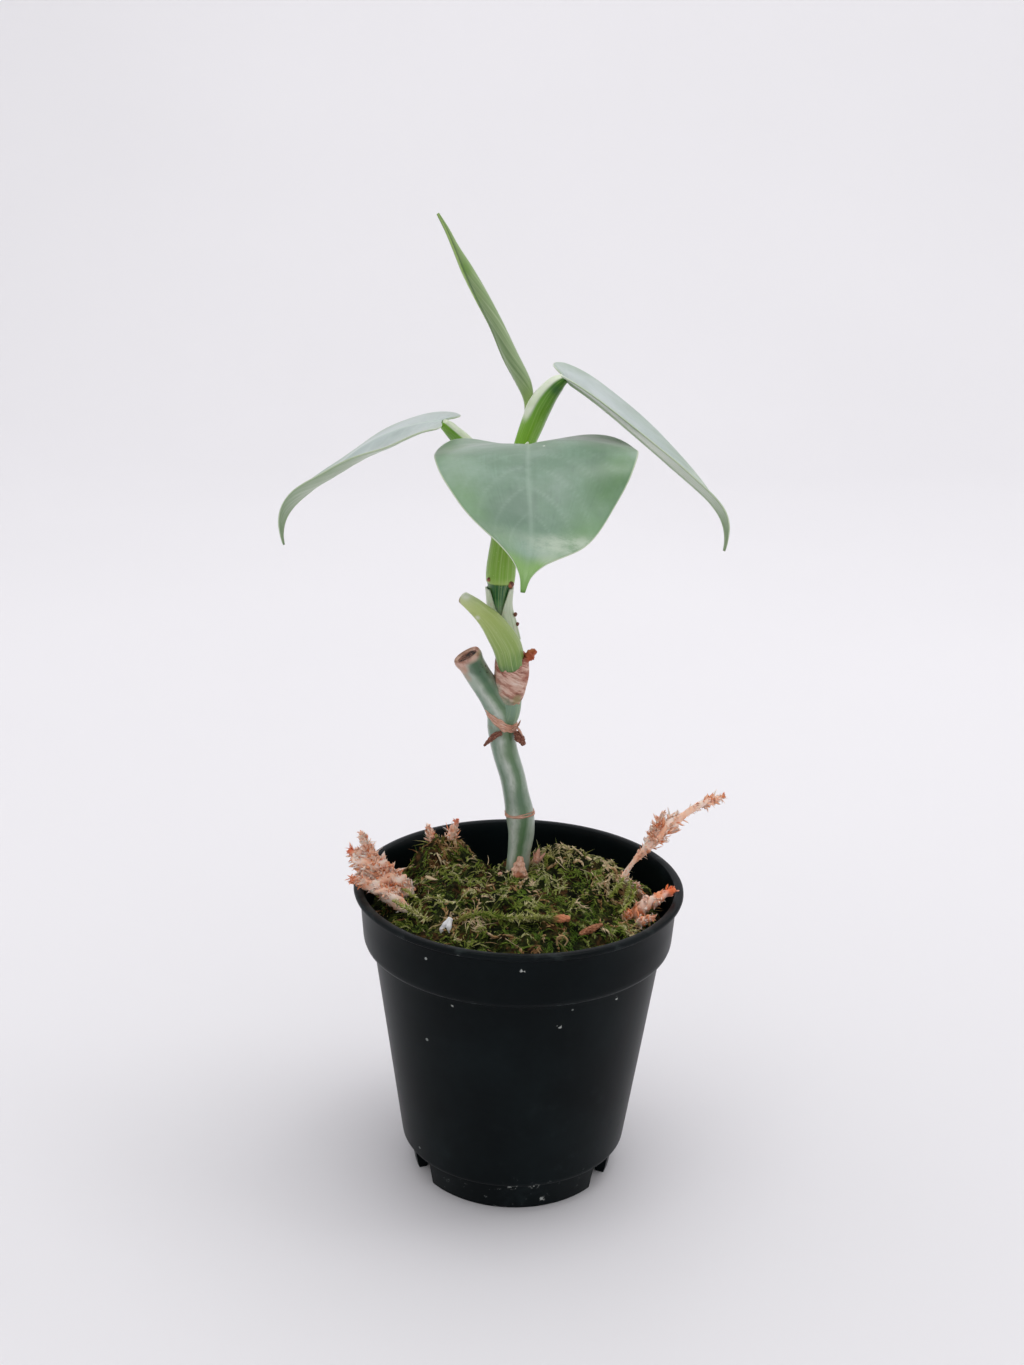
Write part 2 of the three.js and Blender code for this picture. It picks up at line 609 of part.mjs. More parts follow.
// Ground-up bark and peat that fills the pot, with clearance to its wall
function pottingMix() {
  const clear = pot.wall + seatGap;
  return lathe([
    [0, pot.floorTop + seatGap], [pot.footRadius - clear - 0.2, pot.floorTop + seatGap],
    [pot.footTopRadius - clear - 0.6, pot.footTopHeight], [pot.heelRadius - clear - 0.2, pot.heelHeight + 1],
    [pot.shoulderRadius - clear - 0.3, pot.ledgeHeight - 0.6], [pot.shoulderRadius - clear - 1, mix.top],
    [0, mix.top],
  ], mix.facets);
}

// Height of the moss: a mound that falls to the rim, higher in front, with hummocks and seeded lumps
function mossSurface() {
  const draw = seededDraw(29);
  const lumps = Array.from({ length: moss.lumps }, () => {
    const angle = 2 * Math.PI * draw();
    const reach = moss.rimRadius * Math.sqrt(draw());
    const radius = THREE.MathUtils.lerp(...moss.lumpRadius, draw());
    const rise = THREE.MathUtils.lerp(...moss.lumpRise, draw());
    return [reach * Math.cos(angle), reach * Math.sin(angle), radius, rise];
  });
  return (x, y) => {
    const reach = Math.hypot(x, y) / moss.rimRadius;
    const edge = moss.edgeHeight + (moss.frontRise * -y - moss.leftRise * x) / moss.rimRadius;
    let height = edge + (moss.crestHeight - edge) * (1 - reach ** moss.doming);
    for (const [cx, cy, radius, rise] of [...mossHummocks, ...lumps]) {
      height += rise * Math.exp(-((x - cx) ** 2 + (y - cy) ** 2) / (0.5 * radius ** 2));
    }
    return Math.max(height, moss.underside + 1.2);
  };
}

function mossBed() {
  const surface = mossSurface();
  const { spokes, rings } = moss;
  const points = [new THREE.Vector3(0, 0, surface(0, 0)), new THREE.Vector3(0, 0, moss.underside)];
  const triangles = [];
  const place = (ring, spoke) => 2 + ring * spokes + (spoke % spokes);
  for (let i = 1; i <= rings + 1; i += 1) {
    for (let j = 0; j < spokes; j += 1) {
      const angle = (2 * Math.PI * j) / spokes;
      const back = Math.max(Math.sin(angle), 0) + 0.5 * Math.max(Math.cos(angle), 0);
      const reach = (moss.rimRadius - 3 * back) * Math.min(i / rings, 1) ** 0.85;
      const [x, y] = [reach * Math.cos(angle), reach * Math.sin(angle)];
      points.push(new THREE.Vector3(x, y, i > rings ? moss.underside : surface(x, y)));
    }
  }
  for (let j = 0; j < spokes; j += 1) {
    triangles.push([0, place(0, j), place(0, j + 1)]);
    for (let i = 0; i < rings; i += 1) {
      const [p, q, r, s] = [place(i, j), place(i + 1, j), place(i + 1, j + 1), place(i, j + 1)];
      triangles.push([p, q, r], [p, r, s]);
    }
    triangles.push([1, place(rings, j + 1), place(rings, j)]);
  }
  const draw = seededDraw(41);
  const sprigs = Array.from({ length: moss.sprigs }, () => {
    const angle = 2 * Math.PI * draw();
    const reach = 8 + 30 * Math.sqrt(draw());
    const [x, y] = [reach * Math.cos(angle), reach * Math.sin(angle)];
    const lean = 2 * Math.PI * draw();
    const direction = new THREE.Vector3(Math.cos(lean), Math.sin(lean), 0.7 + 0.9 * draw()).normalize();
    const root = new THREE.Vector3(x, y, surface(x, y) - 0.4);
    return scaleSolid(root, direction, moss.sprigLength * (0.6 + 0.4 * draw()), moss.sprigWidth);
  });
  return sprigs.reduce((bed, sprig) => bed.add(sprig), solidFrom(points, triangles));
}

// Dead, bleached moss: ragged stems with scales, joined at their root
function driedSpray({ seed, scales, stems }, grow = 0) {
  const draw = seededDraw(seed);
  const raggedness = (angle, share) => (
    1 + 0.18 * Math.sin(3 * angle + 23 * share) + 0.12 * Math.sin(41 * share));
  const solids = stems.map((stem) => rod({ ...stem, facets: 6 }, { grow, relief: raggedness }));
  const places = stems.flatMap((stem) => sectionsAlong(stem.path, stem.radii, 6).slice(4));
  for (let i = 0; i < scales; i += 1) {
    const section = places[Math.floor(draw() * places.length)];
    const angle = 2 * Math.PI * draw();
    const direction = section.forward.clone().multiplyScalar(0.5 + draw())
      .addScaledVector(section.side, Math.cos(angle)).addScaledVector(section.across, Math.sin(angle))
      .normalize();
    const root = section.centre.clone().addScaledVector(direction, section.radius * 0.3);
    const length = section.radius * 0.9 + 1.2 + 1.6 * draw();
    solids.push(scaleSolid(root, direction, length + 4 * grow, 0.75 + 0.35 * section.radius + 1.5 * grow));
  }
  return solids.reduce((sum, solid) => sum.add(solid));
}

// Space kept clear round the pot's lip for what leans over it
function lipClearance() {
  const inner = pot.lipInnerRadius - 1.6;
  const outer = pot.lipRadius + seatGap;
  const top = pot.height + seatGap;
  return lathe([[inner, 80], [outer, 80], [outer, top], [inner, top], [inner, 80]], pot.facets);
}

// Stem with the small round buds that grow from it, given by centre and radius
function buddedStem(stem, grow = 0) {
  return stem.buds.reduce((sum, [centre, radius]) => {
    const bud = new THREE.IcosahedronGeometry(radius + grow, 1);
    bud.translate(...centre);
    return sum.add(solidOf(bud));
  }, rod(stem, { grow }));
}

const stubFlute = (angle, share) => 1 + 0.035 * Math.cos(7 * angle) * (1 - share);
const rolledEdge = (angle, share) => {
  const turn = (angle / (2 * Math.PI) + 0.45 - 0.5 * share + 2) % 1;
  return 1 + newLeaf.overlap * (turn - 0.5);
};

const roots = rootPaths.map((path) => ({ path, radii: rootRadii, facets: 6 }));
const caneSolid = roots.reduce((sum, root) => sum.add(rod(root)), buddedStem(cane));
const caneHole = roots.reduce((sum, root) => sum.add(grown(root)), buddedStem(cane, seatGap));
const shootSolid = buddedStem(shoot);
const shootHole = buddedStem(shoot, seatGap);
const stubSolid = rod(petioleStub, { relief: stubFlute });
const stubHole = grown(petioleStub, { relief: stubFlute });

// Opening cut down into the front of the upper sheath
function sheathNotch() {
  const low = [[-8.4, 12, 180.6], [-8.4, 2, 180.6], [-7.6, 2, 180.6], [-7.6, 12, 180.6]].map(vector);
  const high = [[-12.4, 10.6, 190], [-12.4, 2, 190], [-3.8, 2, 190], [-3.8, 10.6, 190]].map(vector);
  return loft([low, high]);
}

const petioleParts = Object.fromEntries(Object.entries(petioles).map(([name, stem]) => {
  const shape = { ...stem, facets: petioleFacets };
  const stalk = rod(shape).add(wingSolid(shape, stem.wing)).subtract(spaceAboveStalk(blades[name]));
  return [name, { solid: stalk, hole: grown(shape) }];
}));
const aroundPetioles = {
  right: shootHole,
  front: shootHole.add(petioleParts.right.hole),
  left: shootHole.add(petioleParts.right.hole).add(petioleParts.front.hole),
};

const clearOfLip = lipClearance();
const sprays = Object.fromEntries(Object.entries(driedMoss).map(([name, spray]) => [name, {
  solid: wholeOf(driedSpray(spray).subtract(clearOfLip)),
  hole: driedSpray(spray, seatGap),
}]));

const plantModel = new THREE.Group();

// Mesh of a solid with its slivers closed up: corners nearer than the weld distance become one
function cleanGeometry(solid) {
  const { vertProperties, triVerts } = solid.getMesh();
  const raw = new THREE.BufferGeometry();
  raw.setAttribute("position", new THREE.BufferAttribute(vertProperties, 3));
  raw.setIndex(new THREE.BufferAttribute(triVerts, 1));
  const geometry = mergeVertices(raw, weldDistance);
  const corners = geometry.index.array;
  const kept = new Map();
  for (let i = 0; i < corners.length; i += 3) {
    const triangle = [corners[i], corners[i + 1], corners[i + 2]];
    if (new Set(triangle).size < 3) continue;
    const key = [...triangle].sort((p, q) => p - q).join();
    if (kept.has(key)) kept.delete(key);
    else kept.set(key, triangle);
  }
  geometry.setIndex([...kept.values()].flat());
  geometry.computeVertexNormals();
  return geometry;
}

function addPiece(name, solid, look) {
  const geometry = cleanGeometry(solid);
  const piece = new THREE.Mesh(geometry, new THREE.MeshStandardMaterial({ ...looks[look], metalness: 0 }));
  piece.name = name;
  plantModel.add(piece);
}

const bits = {
  moss_twig: [mossTwig, "bark"],
  bark_chip: [barkChip, "brown"],
  white_fleck: [whiteFleck, "fleck"],
};
const bedHoles = [caneHole, grown(budScale), ...Object.values(sprays).map((spray) => spray.hole),
  ...Object.values(bits).map(([shape]) => grown(shape))];

addPiece("nursery_pot", nurseryPot(), "plastic");
addPiece("potting_mix", pottingMix().subtract(caneHole), "mix");
addPiece("moss_bed", wholeOf(bedHoles.reduce((bed, hole) => bed.subtract(hole), mossBed())), "moss");
for (const [name, spray] of Object.entries(sprays)) addPiece(`dried_moss_${name}`, spray.solid, "dried");
for (const [name, [shape, look]] of Object.entries(bits)) addPiece(name, rod(shape), look);

addPiece("cane", caneSolid, "cane");
addPiece("bud_scale", wholeOf(rod(budScale).subtract(caneHole)), "bark");
addPiece("cane_ring", wholeOf(sleeve(cane, caneRing).subtract(caneHole)), "bark");
addPiece("cane_collar", wholeOf(sleeve(cane, caneCollar).subtract(caneHole)), "bark");
addPiece("root_stub", wholeOf(rod(rootStub).subtract(caneHole)), "brown");
addPiece("node_nub", wholeOf(rod(nodeNub).subtract(caneHole)), "brown");
const papery = rod(paperySheath).subtract(caneHole).subtract(shootHole).subtract(stubHole);
addPiece("papery_sheath", wholeOf(papery), "bark");

addPiece("shoot", wholeOf(shootSolid.subtract(caneHole)), "shoot");
addPiece("petiole_stub", wholeOf(stubSolid.subtract(shootHole).subtract(caneHole)), "stub");
const openSheath = rod(shootSheath).subtract(shootHole).subtract(stubHole).subtract(sheathNotch());
addPiece("shoot_sheath", wholeOf(openSheath), "sheath");
for (const [name, around] of Object.entries(aroundPetioles)) {
  addPiece(`petiole_${name}`, wholeOf(petioleParts[name].solid.subtract(around)), "petiole");
}
for (const [name, blade] of Object.entries(blades)) {
  addPiece(`leaf_${name}`, bladeSolid(bladeGrid(blade)), "blade");
}
const spear = rod(newLeaf, { relief: rolledEdge }).subtract(petioleParts.right.hole);
addPiece("new_leaf", wholeOf(spear), "newLeaf");

export default plantModel;
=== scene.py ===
# A rooted philodendron cutting in a nursery pot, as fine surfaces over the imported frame.
# The dictionaries hold millimetres and degrees; meshes are made in metres.
import bpy
import numpy as np
from mathutils import Matrix, Vector, geometry


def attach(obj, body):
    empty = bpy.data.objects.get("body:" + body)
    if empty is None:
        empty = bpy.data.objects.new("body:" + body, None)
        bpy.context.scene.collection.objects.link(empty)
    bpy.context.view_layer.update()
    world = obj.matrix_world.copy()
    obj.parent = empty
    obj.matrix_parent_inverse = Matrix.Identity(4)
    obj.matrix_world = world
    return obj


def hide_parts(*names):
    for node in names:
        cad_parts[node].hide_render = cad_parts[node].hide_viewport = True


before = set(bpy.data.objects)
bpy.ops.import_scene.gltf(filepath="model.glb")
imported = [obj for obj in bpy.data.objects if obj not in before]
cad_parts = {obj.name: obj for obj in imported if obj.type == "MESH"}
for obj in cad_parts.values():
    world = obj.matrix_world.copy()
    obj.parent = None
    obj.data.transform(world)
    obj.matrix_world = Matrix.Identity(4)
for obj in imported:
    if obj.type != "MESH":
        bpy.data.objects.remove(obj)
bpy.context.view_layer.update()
millimetre = 0.001


def unit(vectors):
    return vectors / np.maximum(np.linalg.norm(vectors, axis=-1, keepdims=True), 1e-12)


def fade(value, low, high):
    # 0 at low, 1 at high, with a soft start and end
    t = np.clip((value - low) / (high - low), 0, 1)
    return t * t * (3 - 2 * t)


def between(limits, share):
    return limits[0] + (limits[1] - limits[0]) * share


def sample(at, stations, rows):
    # every column of the rows, read off at the given stations
    return np.stack([np.interp(at, stations, column) for column in rows.T], axis=-1)


def fullTurn(count):
    return np.linspace(0, 2 * np.pi, count, endpoint=False)


def roundPlace(turn, along):
    # pattern place on a stem: cosine and sine of the turn round it, and how far along it
    return np.stack([np.cos(turn), np.sin(turn), along], axis=-1)


def toneValues(tone, turn, share):
    # a tone is one number, or a function of turn and share
    return tone(turn, share) if callable(tone) else np.full(share.shape, float(tone))


def cubic(t, span, start, startSlope, end, endSlope):
    # a cubic from start to end, with the given slopes at its two ends
    return ((2 * t**3 - 3 * t**2 + 1) * start + (t**3 - 2 * t**2 + t) * span * startSlope
            + (3 * t**2 - 2 * t**3) * end + (t**3 - t**2) * span * endSlope)


def smoothValues(stations, values, at):
    # cubic pieces between the stations, with slopes taken from the neighbouring values
    stations, values = np.asarray(stations, float), np.asarray(values, float)
    last = len(stations) - 1
    x = np.clip(at, stations[0], stations[-1])
    i = np.clip(np.searchsorted(stations, x, side="right") - 1, 0, last - 1)
    before, after = np.maximum(np.arange(last + 1) - 1, 0), np.minimum(np.arange(last + 1) + 1, last)
    slopes = (values[after] - values[before]) / (stations[after] - stations[before])
    span = stations[i + 1] - stations[i]
    t = (x - stations[i]) / span
    return cubic(t, span, values[i], slopes[i], values[i + 1], slopes[i + 1])


def smoothPath(points, steps):
    # centripetal curve through the points: spans weighted by the square root of their lengths
    points = np.asarray(points, float)
    padded = np.vstack([2 * points[0] - points[1], points, 2 * points[-1] - points[-2]])
    gaps = np.maximum(np.linalg.norm(np.diff(padded, axis=0), axis=1) ** 0.5, 1e-6)[:, None]
    place = np.linspace(0, len(points) - 1, steps + 1)
    i = np.clip(place.astype(int), 0, len(points) - 2)
    t = (place - i)[:, None]
    p0, p1, p2, p3 = (padded[i + k] for k in range(4))
    d0, d1, d2 = (gaps[i + k] for k in range(3))
    s1 = ((p1 - p0) / d0 - (p2 - p0) / (d0 + d1) + (p2 - p1) / d1) * d1
    s2 = ((p2 - p1) / d1 - (p3 - p1) / (d1 + d2) + (p3 - p2) / d2) * d1
    return cubic(t, 1, p1, s1, p2, s2)


def stemTable(path, radii):
    # centre, side, across, forward and radius of the sections square to a path, by share of its length
    centres = smoothPath(path, 480)
    shares = np.linspace(0, 1, len(centres))
    forward = unit(np.gradient(centres, axis=0))
    front = np.array([0.0, -1.0, 0.0])
    side = unit(front - (forward @ front)[:, None] * forward)
    across = np.cross(forward, side)
    radius = smoothValues(range(len(radii)), radii, shares * (len(radii) - 1))
    return shares, np.hstack([centres, side, across, forward, radius[:, None]])


def stemGrid(table, share, turn, reach, shift=0.0, lift=0.0):
    # point = centre + (side * cos(turn) + across * sin(turn)) * (radius * reach + lift) + forward * shift
    shares, rows = table
    at = sample(share, *table)
    radial = at[..., 3:6] * np.cos(turn)[..., None] + at[..., 6:9] * np.sin(turn)[..., None]
    distance = at[..., 12] * reach + lift
    slide = np.broadcast_to(shift, share.shape)[..., None]
    return at[..., 0:3] + radial * distance[..., None] + at[..., 9:12] * slide


def wrapFaces(rows, columns, wrapRows=False):
    index = np.arange(rows * columns).reshape(rows, columns)
    right = np.roll(index, -1, axis=1)
    quads = np.stack([index, right, np.roll(right, -1, axis=0), np.roll(index, -1, axis=0)], axis=-1)
    return quads.reshape(-1, 4) if wrapRows else quads[:-1].reshape(-1, 4)


def closedPart(grid, place, tone, poles=None):
    # a grid that wraps round its columns; its two ends meet, or each closes on a pole
    rows, columns = grid.shape[:2]
    part = {"verts": grid.reshape(-1, 3), "place": place.reshape(-1, 3), "tone": tone.reshape(-1),
            "quads": wrapFaces(rows, columns, poles is None), "tris": np.zeros((0, 3), int)}
    if poles is not None:
        count = rows * columns
        ring = np.arange(columns)
        after = np.roll(ring, -1)
        top = ring + (rows - 1) * columns
        topAfter = after + (rows - 1) * columns
        part["tris"] = np.concatenate([
            np.stack([np.full(columns, count), after, ring], axis=-1),
            np.stack([np.full(columns, count + 1), top, topAfter], axis=-1)])
        part["verts"] = np.vstack([part["verts"], poles])
        ends = np.array([[0, 0, place[0, 0, 2]], [0, 0, place[-1, 0, 2]]])
        part["place"] = np.vstack([part["place"], ends])
        part["tone"] = np.concatenate([part["tone"], [tone[0].mean(), tone[-1].mean()]])
    return part


dome = {"steps": 5, "roundness": 0.6}


def tubePart(path, radii, along, around, relief=None, tone=0.0, domes=(0.3, 0.3)):
    # a rod along a smooth path with a low dome at each end; relief is a factor by turn and share
    table = stemTable(path, radii)
    bend = np.linspace(0, np.pi / 2, dome["steps"] + 2)[1:-1]
    straight = np.ones(along + 1)
    share = np.concatenate([0 * bend, np.linspace(0, 1, along + 1), 0 * bend + 1])
    shrink = np.concatenate([np.cos(bend[::-1]) ** dome["roundness"], straight,
                             np.cos(bend) ** dome["roundness"]])
    rise = np.concatenate([-np.sin(bend[::-1]) * radii[0] * domes[0], 0 * straight,
                           np.sin(bend) * radii[-1] * domes[1]])
    share, turn = np.meshgrid(share, fullTurn(around), indexing="ij")
    factor = relief(turn, share) if relief else 1.0
    grid = stemGrid(table, share, turn, shrink[:, None] * factor, rise[:, None])
    first, last = table[1][0], table[1][-1]
    poles = np.array([first[:3] - first[9:12] * radii[0] * domes[0],
                      last[:3] + last[9:12] * radii[-1] * domes[1]])
    return closedPart(grid, roundPlace(turn, share), toneValues(tone, turn, share), poles)


def sleevePart(path, radii, along, around, wall, high, relief):
    # a hollow sleeve round a stem: up its outside and down its inside; high gives its upper edge by turn
    climb = np.linspace(0, 1, along + 1)
    climb = np.concatenate([climb, climb[::-1]])
    inner = np.repeat([0.0, 1.0], along + 1)[:, None]
    climb, turn = np.meshgrid(climb, fullTurn(around), indexing="ij")
    grid = stemGrid(stemTable(path, radii), high(turn) * climb, turn, relief(turn, climb), lift=-wall * inner)
    return closedPart(grid, roundPlace(turn, climb), np.zeros(turn.shape))


tie = {"around": 150, "section": 14}


def strandRing(stem, share, reach, thick, tall, slide):
    # a strand tied round a stem: an oval section carried round it; slide shifts it along the stem by turn
    table = stemTable(stem["path"], stem["radii"])
    spin, turn = np.meshgrid(fullTurn(tie["section"]), fullTurn(tie["around"]), indexing="ij")
    swell = 1 + 0.22 * np.sin(5 * turn + 1.3) + 0.12 * np.sin(11 * turn + 0.4)
    shift = slide(turn) + tall * swell * np.sin(spin)
    grid = stemGrid(table, np.full(turn.shape, share), turn, 1.0, shift, reach + thick * swell * np.cos(spin))
    return closedPart(grid, roundPlace(turn, spin / 6.3), np.zeros(turn.shape))


ballRings = {"rings": 10, "around": 20}


def blobPart(centre, radius, tone, squeeze):
    # a small round bud: a ball from latitude and longitude
    latitude = np.linspace(-np.pi / 2, np.pi / 2, ballRings["rings"] + 2)[1:-1]
    up, turn = np.meshgrid(latitude, fullTurn(ballRings["around"]), indexing="ij")
    ball = np.stack([np.cos(up) * np.cos(turn), np.cos(up) * np.sin(turn), np.sin(up)], axis=-1)
    ball *= (1 + 0.1 * np.sin(3 * turn + 2 * up))[..., None]
    poles = np.array([[0, 0, -1.0], [0, 0, 1.0]])
    size = radius * np.array(squeeze)
    place = roundPlace(turn, up)
    return closedPart(ball * size + centre, place, np.full(up.shape, tone), poles * size + centre)


taperPlaces = (0, 0.35, 0.7, 1)


def strandPart(roots, directions, lengths, widths, bends, tones, rings=4, flat=1.0,
               taper=(0.7, 1.0, 0.75, 0.4)):
    # tapered three-sided strands, closed to a point: root + length * (direction * t + bend * t * t)
    count = len(roots)
    t = np.linspace(0, 1, rings + 1)[None, :, None]
    path = roots[:, None] + lengths[:, None, None] * (directions[:, None] * t + bends[:, None] * t**2)
    forward = unit(np.gradient(path, axis=1))
    helper = unit(np.cross(directions + 0.01, bends + np.array([0.013, 0.007, 0.003])))[:, None]
    side = unit(helper - (forward * helper).sum(-1, keepdims=True) * forward)
    across = np.cross(forward, side) * flat
    thick = (widths[:, None] * np.interp(np.linspace(0, 1, rings), taperPlaces, taper))[:, :, None, None]
    turn = np.arange(3) * 2 * np.pi / 3
    ring = side[:, :rings, None] * np.cos(turn)[:, None] + across[:, :rings, None] * np.sin(turn)[:, None]
    body = (path[:, :rings, None] + ring * thick).reshape(count, -1, 3)
    verts = np.concatenate([body, path[:, -1:]], axis=1)
    size = rings * 3 + 1
    quad = wrapFaces(rings, 3)
    tip = np.array([[rings * 3 - 3 + k, rings * 3 - 3 + (k + 1) % 3, rings * 3] for k in range(3)]
                   + [[2, 1, 0]])
    offset = (np.arange(count) * size)[:, None, None]
    grade = np.concatenate([np.repeat(np.linspace(0, 0.8, rings), 3), [1.0]])
    place = np.zeros((count, size, 3))
    place[..., 2] = grade
    place[..., 0] = tones[:, None]
    return {"verts": verts.reshape(-1, 3), "place": place.reshape(-1, 3), "tone": np.repeat(tones, size),
            "quads": (quad[None] + offset).reshape(-1, 4), "tris": (tip[None] + offset).reshape(-1, 3)}


def flakePart(flakes, tone=0.5):
    # single flakes, given one by one: root, tip, width and how far each curls up
    roots, tips, widths, curls = (np.array(column, float) for column in zip(*flakes))
    lengths = np.linalg.norm(tips - roots, axis=1)
    curl = curls[:, None] * np.array([0.1, -0.2, 1.0])
    return strandPart(roots, unit(tips - roots) - curl, lengths, widths, curl,
                      np.full(len(flakes), tone), 8, 0.3)


def makePiece(name, parts, material, nodeNames, sharpAngle=None):
    # joins the parts into one mesh in metres, with a pattern place and a tone at each vertex
    starts = np.cumsum([0] + [len(part["verts"]) for part in parts])
    verts = np.concatenate([part["verts"] for part in parts]) * millimetre
    quads = np.concatenate([part["quads"] + start for part, start in zip(parts, starts)])
    tris = np.concatenate([part["tris"] + start for part, start in zip(parts, starts)])
    corners = np.concatenate([quads.ravel(), tris.ravel()]).astype(np.int32)
    mesh = bpy.data.meshes.new(name)
    mesh.vertices.add(len(verts))
    mesh.vertices.foreach_set("co", verts.astype(np.float32).ravel())
    mesh.loops.add(len(corners))
    mesh.loops.foreach_set("vertex_index", corners)
    mesh.polygons.add(len(quads) + len(tris))
    first = np.concatenate([np.arange(len(quads)) * 4, len(quads) * 4 + np.arange(len(tris)) * 3])
    mesh.polygons.foreach_set("loop_start", first.astype(np.int32))
    mesh.update(calc_edges=True)
    mesh.shade_smooth()
    if sharpAngle:
        mesh.set_sharp_from_angle(angle=np.radians(sharpAngle))
    for label, kind, field in (("place", "FLOAT_VECTOR", "vector"), ("tone", "FLOAT", "value")):
        values = np.concatenate([part[label] for part in parts]).astype(np.float32)
        mesh.attributes.new(label, kind, "POINT").data.foreach_set(field, values.ravel())
    piece = bpy.data.objects.new(name, mesh)
    bpy.context.collection.objects.link(piece)
    mesh.materials.append(material)
    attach(piece, "root")
    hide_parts(*nodeNames)
    print(name, "triangles", 2 * len(quads) + len(tris))
    return piece


def tint(code):
    # screen colour, as a six-figure code, to the shader's linear colour
    channels = np.array([int(code[i:i + 2], 16) for i in (0, 2, 4)]) / 255
    linear = np.where(channels <= 0.04045, channels / 12.92, ((channels + 0.055) / 1.055) ** 2.4)
    return (*linear.tolist(), 1.0)


def node(tree, kind, sockets=None, **settings):
    made = tree.nodes.new(kind)
    for key, value in settings.items():
        setattr(made, key, value)
    for key, value in (sockets or {}).items():
        if isinstance(value, bpy.types.NodeSocket):
            tree.links.new(value, made.inputs[key])
        else:
            made.inputs[key].default_value = value
    return made


def ramp(tree, factor, stops, smooth=True):
    made = node(tree, "ShaderNodeValToRGB", {"Fac": factor})
    made.color_ramp.interpolation = "EASE" if smooth else "LINEAR"
    elements = made.color_ramp.elements
    while len(elements) < len(stops):
        elements.new(0.5)
    for element, (position, code) in zip(elements, stops):
        element.position = position
        element.color = tint(code)
    return made.outputs["Color"]


def sums(tree, operation, one, other):
    return node(tree, "ShaderNodeMath", {0: one, 1: other}, operation=operation).outputs[0]


def remap(tree, value, low, high, toLow=0.0, toHigh=1.0):
    levels = {"Value": value, "From Min": low, "From Max": high, "To Min": toLow, "To Max": toHigh}
    return node(tree, "ShaderNodeMapRange", levels, interpolation_type="SMOOTHSTEP").outputs["Result"]


def noise(tree, vector, scale, detail, roughness=0.5):
    sockets = {"Vector": vector, "Scale": scale, "Detail": detail, "Roughness": roughness}
    return node(tree, "ShaderNodeTexNoise", sockets).outputs[0]


def separate(tree, vector):
    return node(tree, "ShaderNodeSeparateXYZ", {0: vector}).outputs


def combine(tree, x, y, z):
    return node(tree, "ShaderNodeCombineXYZ", {0: x, 1: y, 2: z}).outputs[0]


def newGroup(name, vector, values, result):
    # a node group that takes one vector and some numbers, and gives one number
    group = bpy.data.node_groups.new(name, "ShaderNodeTree")
    group.interface.new_socket(vector, in_out="INPUT", socket_type="NodeSocketVector")
    for label, value in values.items():
        socket = group.interface.new_socket(label, in_out="INPUT", socket_type="NodeSocketFloat")
        socket.default_value = value
    group.interface.new_socket(result, in_out="OUTPUT", socket_type="NodeSocketFloat")
    return group, node(group, "NodeGroupInput").outputs, node(group, "NodeGroupOutput").inputs


def makeBlotches():
    # soft-edged patches: noise cut between two levels
    levels = {"Scale": 100.0, "Roughness": 0.55, "Low": 0.4, "High": 0.6}
    group, inlet, outlet = newGroup("blotches", "Coordinates", levels, "Mask")
    cloud = noise(group, inlet["Coordinates"], inlet["Scale"], 5.0, inlet["Roughness"])
    group.links.new(remap(group, cloud, inlet["Low"], inlet["High"]), outlet["Mask"])
    return group


def makeSpecks():
    # scattered grains: a cell shows one where its own random value is under the share
    grains = {"Scale": 300.0, "Share": 0.1, "Size": 0.3}
    group, inlet, outlet = newGroup("specks", "Coordinates", grains, "Mask")
    cells = node(group, "ShaderNodeTexVoronoi", {"Vector": inlet["Coordinates"], "Scale": inlet["Scale"]})
    own = node(group, "ShaderNodeSeparateColor", {0: cells.outputs["Color"]}).outputs
    chosen = sums(group, "LESS_THAN", own[0], inlet["Share"])
    near = sums(group, "LESS_THAN", cells.outputs["Distance"], sums(group, "MULTIPLY", inlet["Size"], own[1]))
    group.links.new(sums(group, "MULTIPLY", chosen, near), outlet["Mask"])
    return group


def makeFibres():
    # fine lines along a stem: noise on the turn round it and, stretched, on its length
    group, inlet, outlet = newGroup("fibres", "Place", {"Round": 12.0, "Along": 6.0}, "Lines")
    parts = separate(group, inlet["Place"])
    scales = [inlet["Round"], inlet["Round"], inlet["Along"]]
    stretched = [sums(group, "MULTIPLY", part, scale) for part, scale in zip(parts, scales)]
    group.links.new(noise(group, combine(group, *stretched), 1.0, 3.0, 0.6), outlet["Lines"])
    return group


blotchGroup, speckGroup, fibreGroup = makeBlotches(), makeSpecks(), makeFibres()


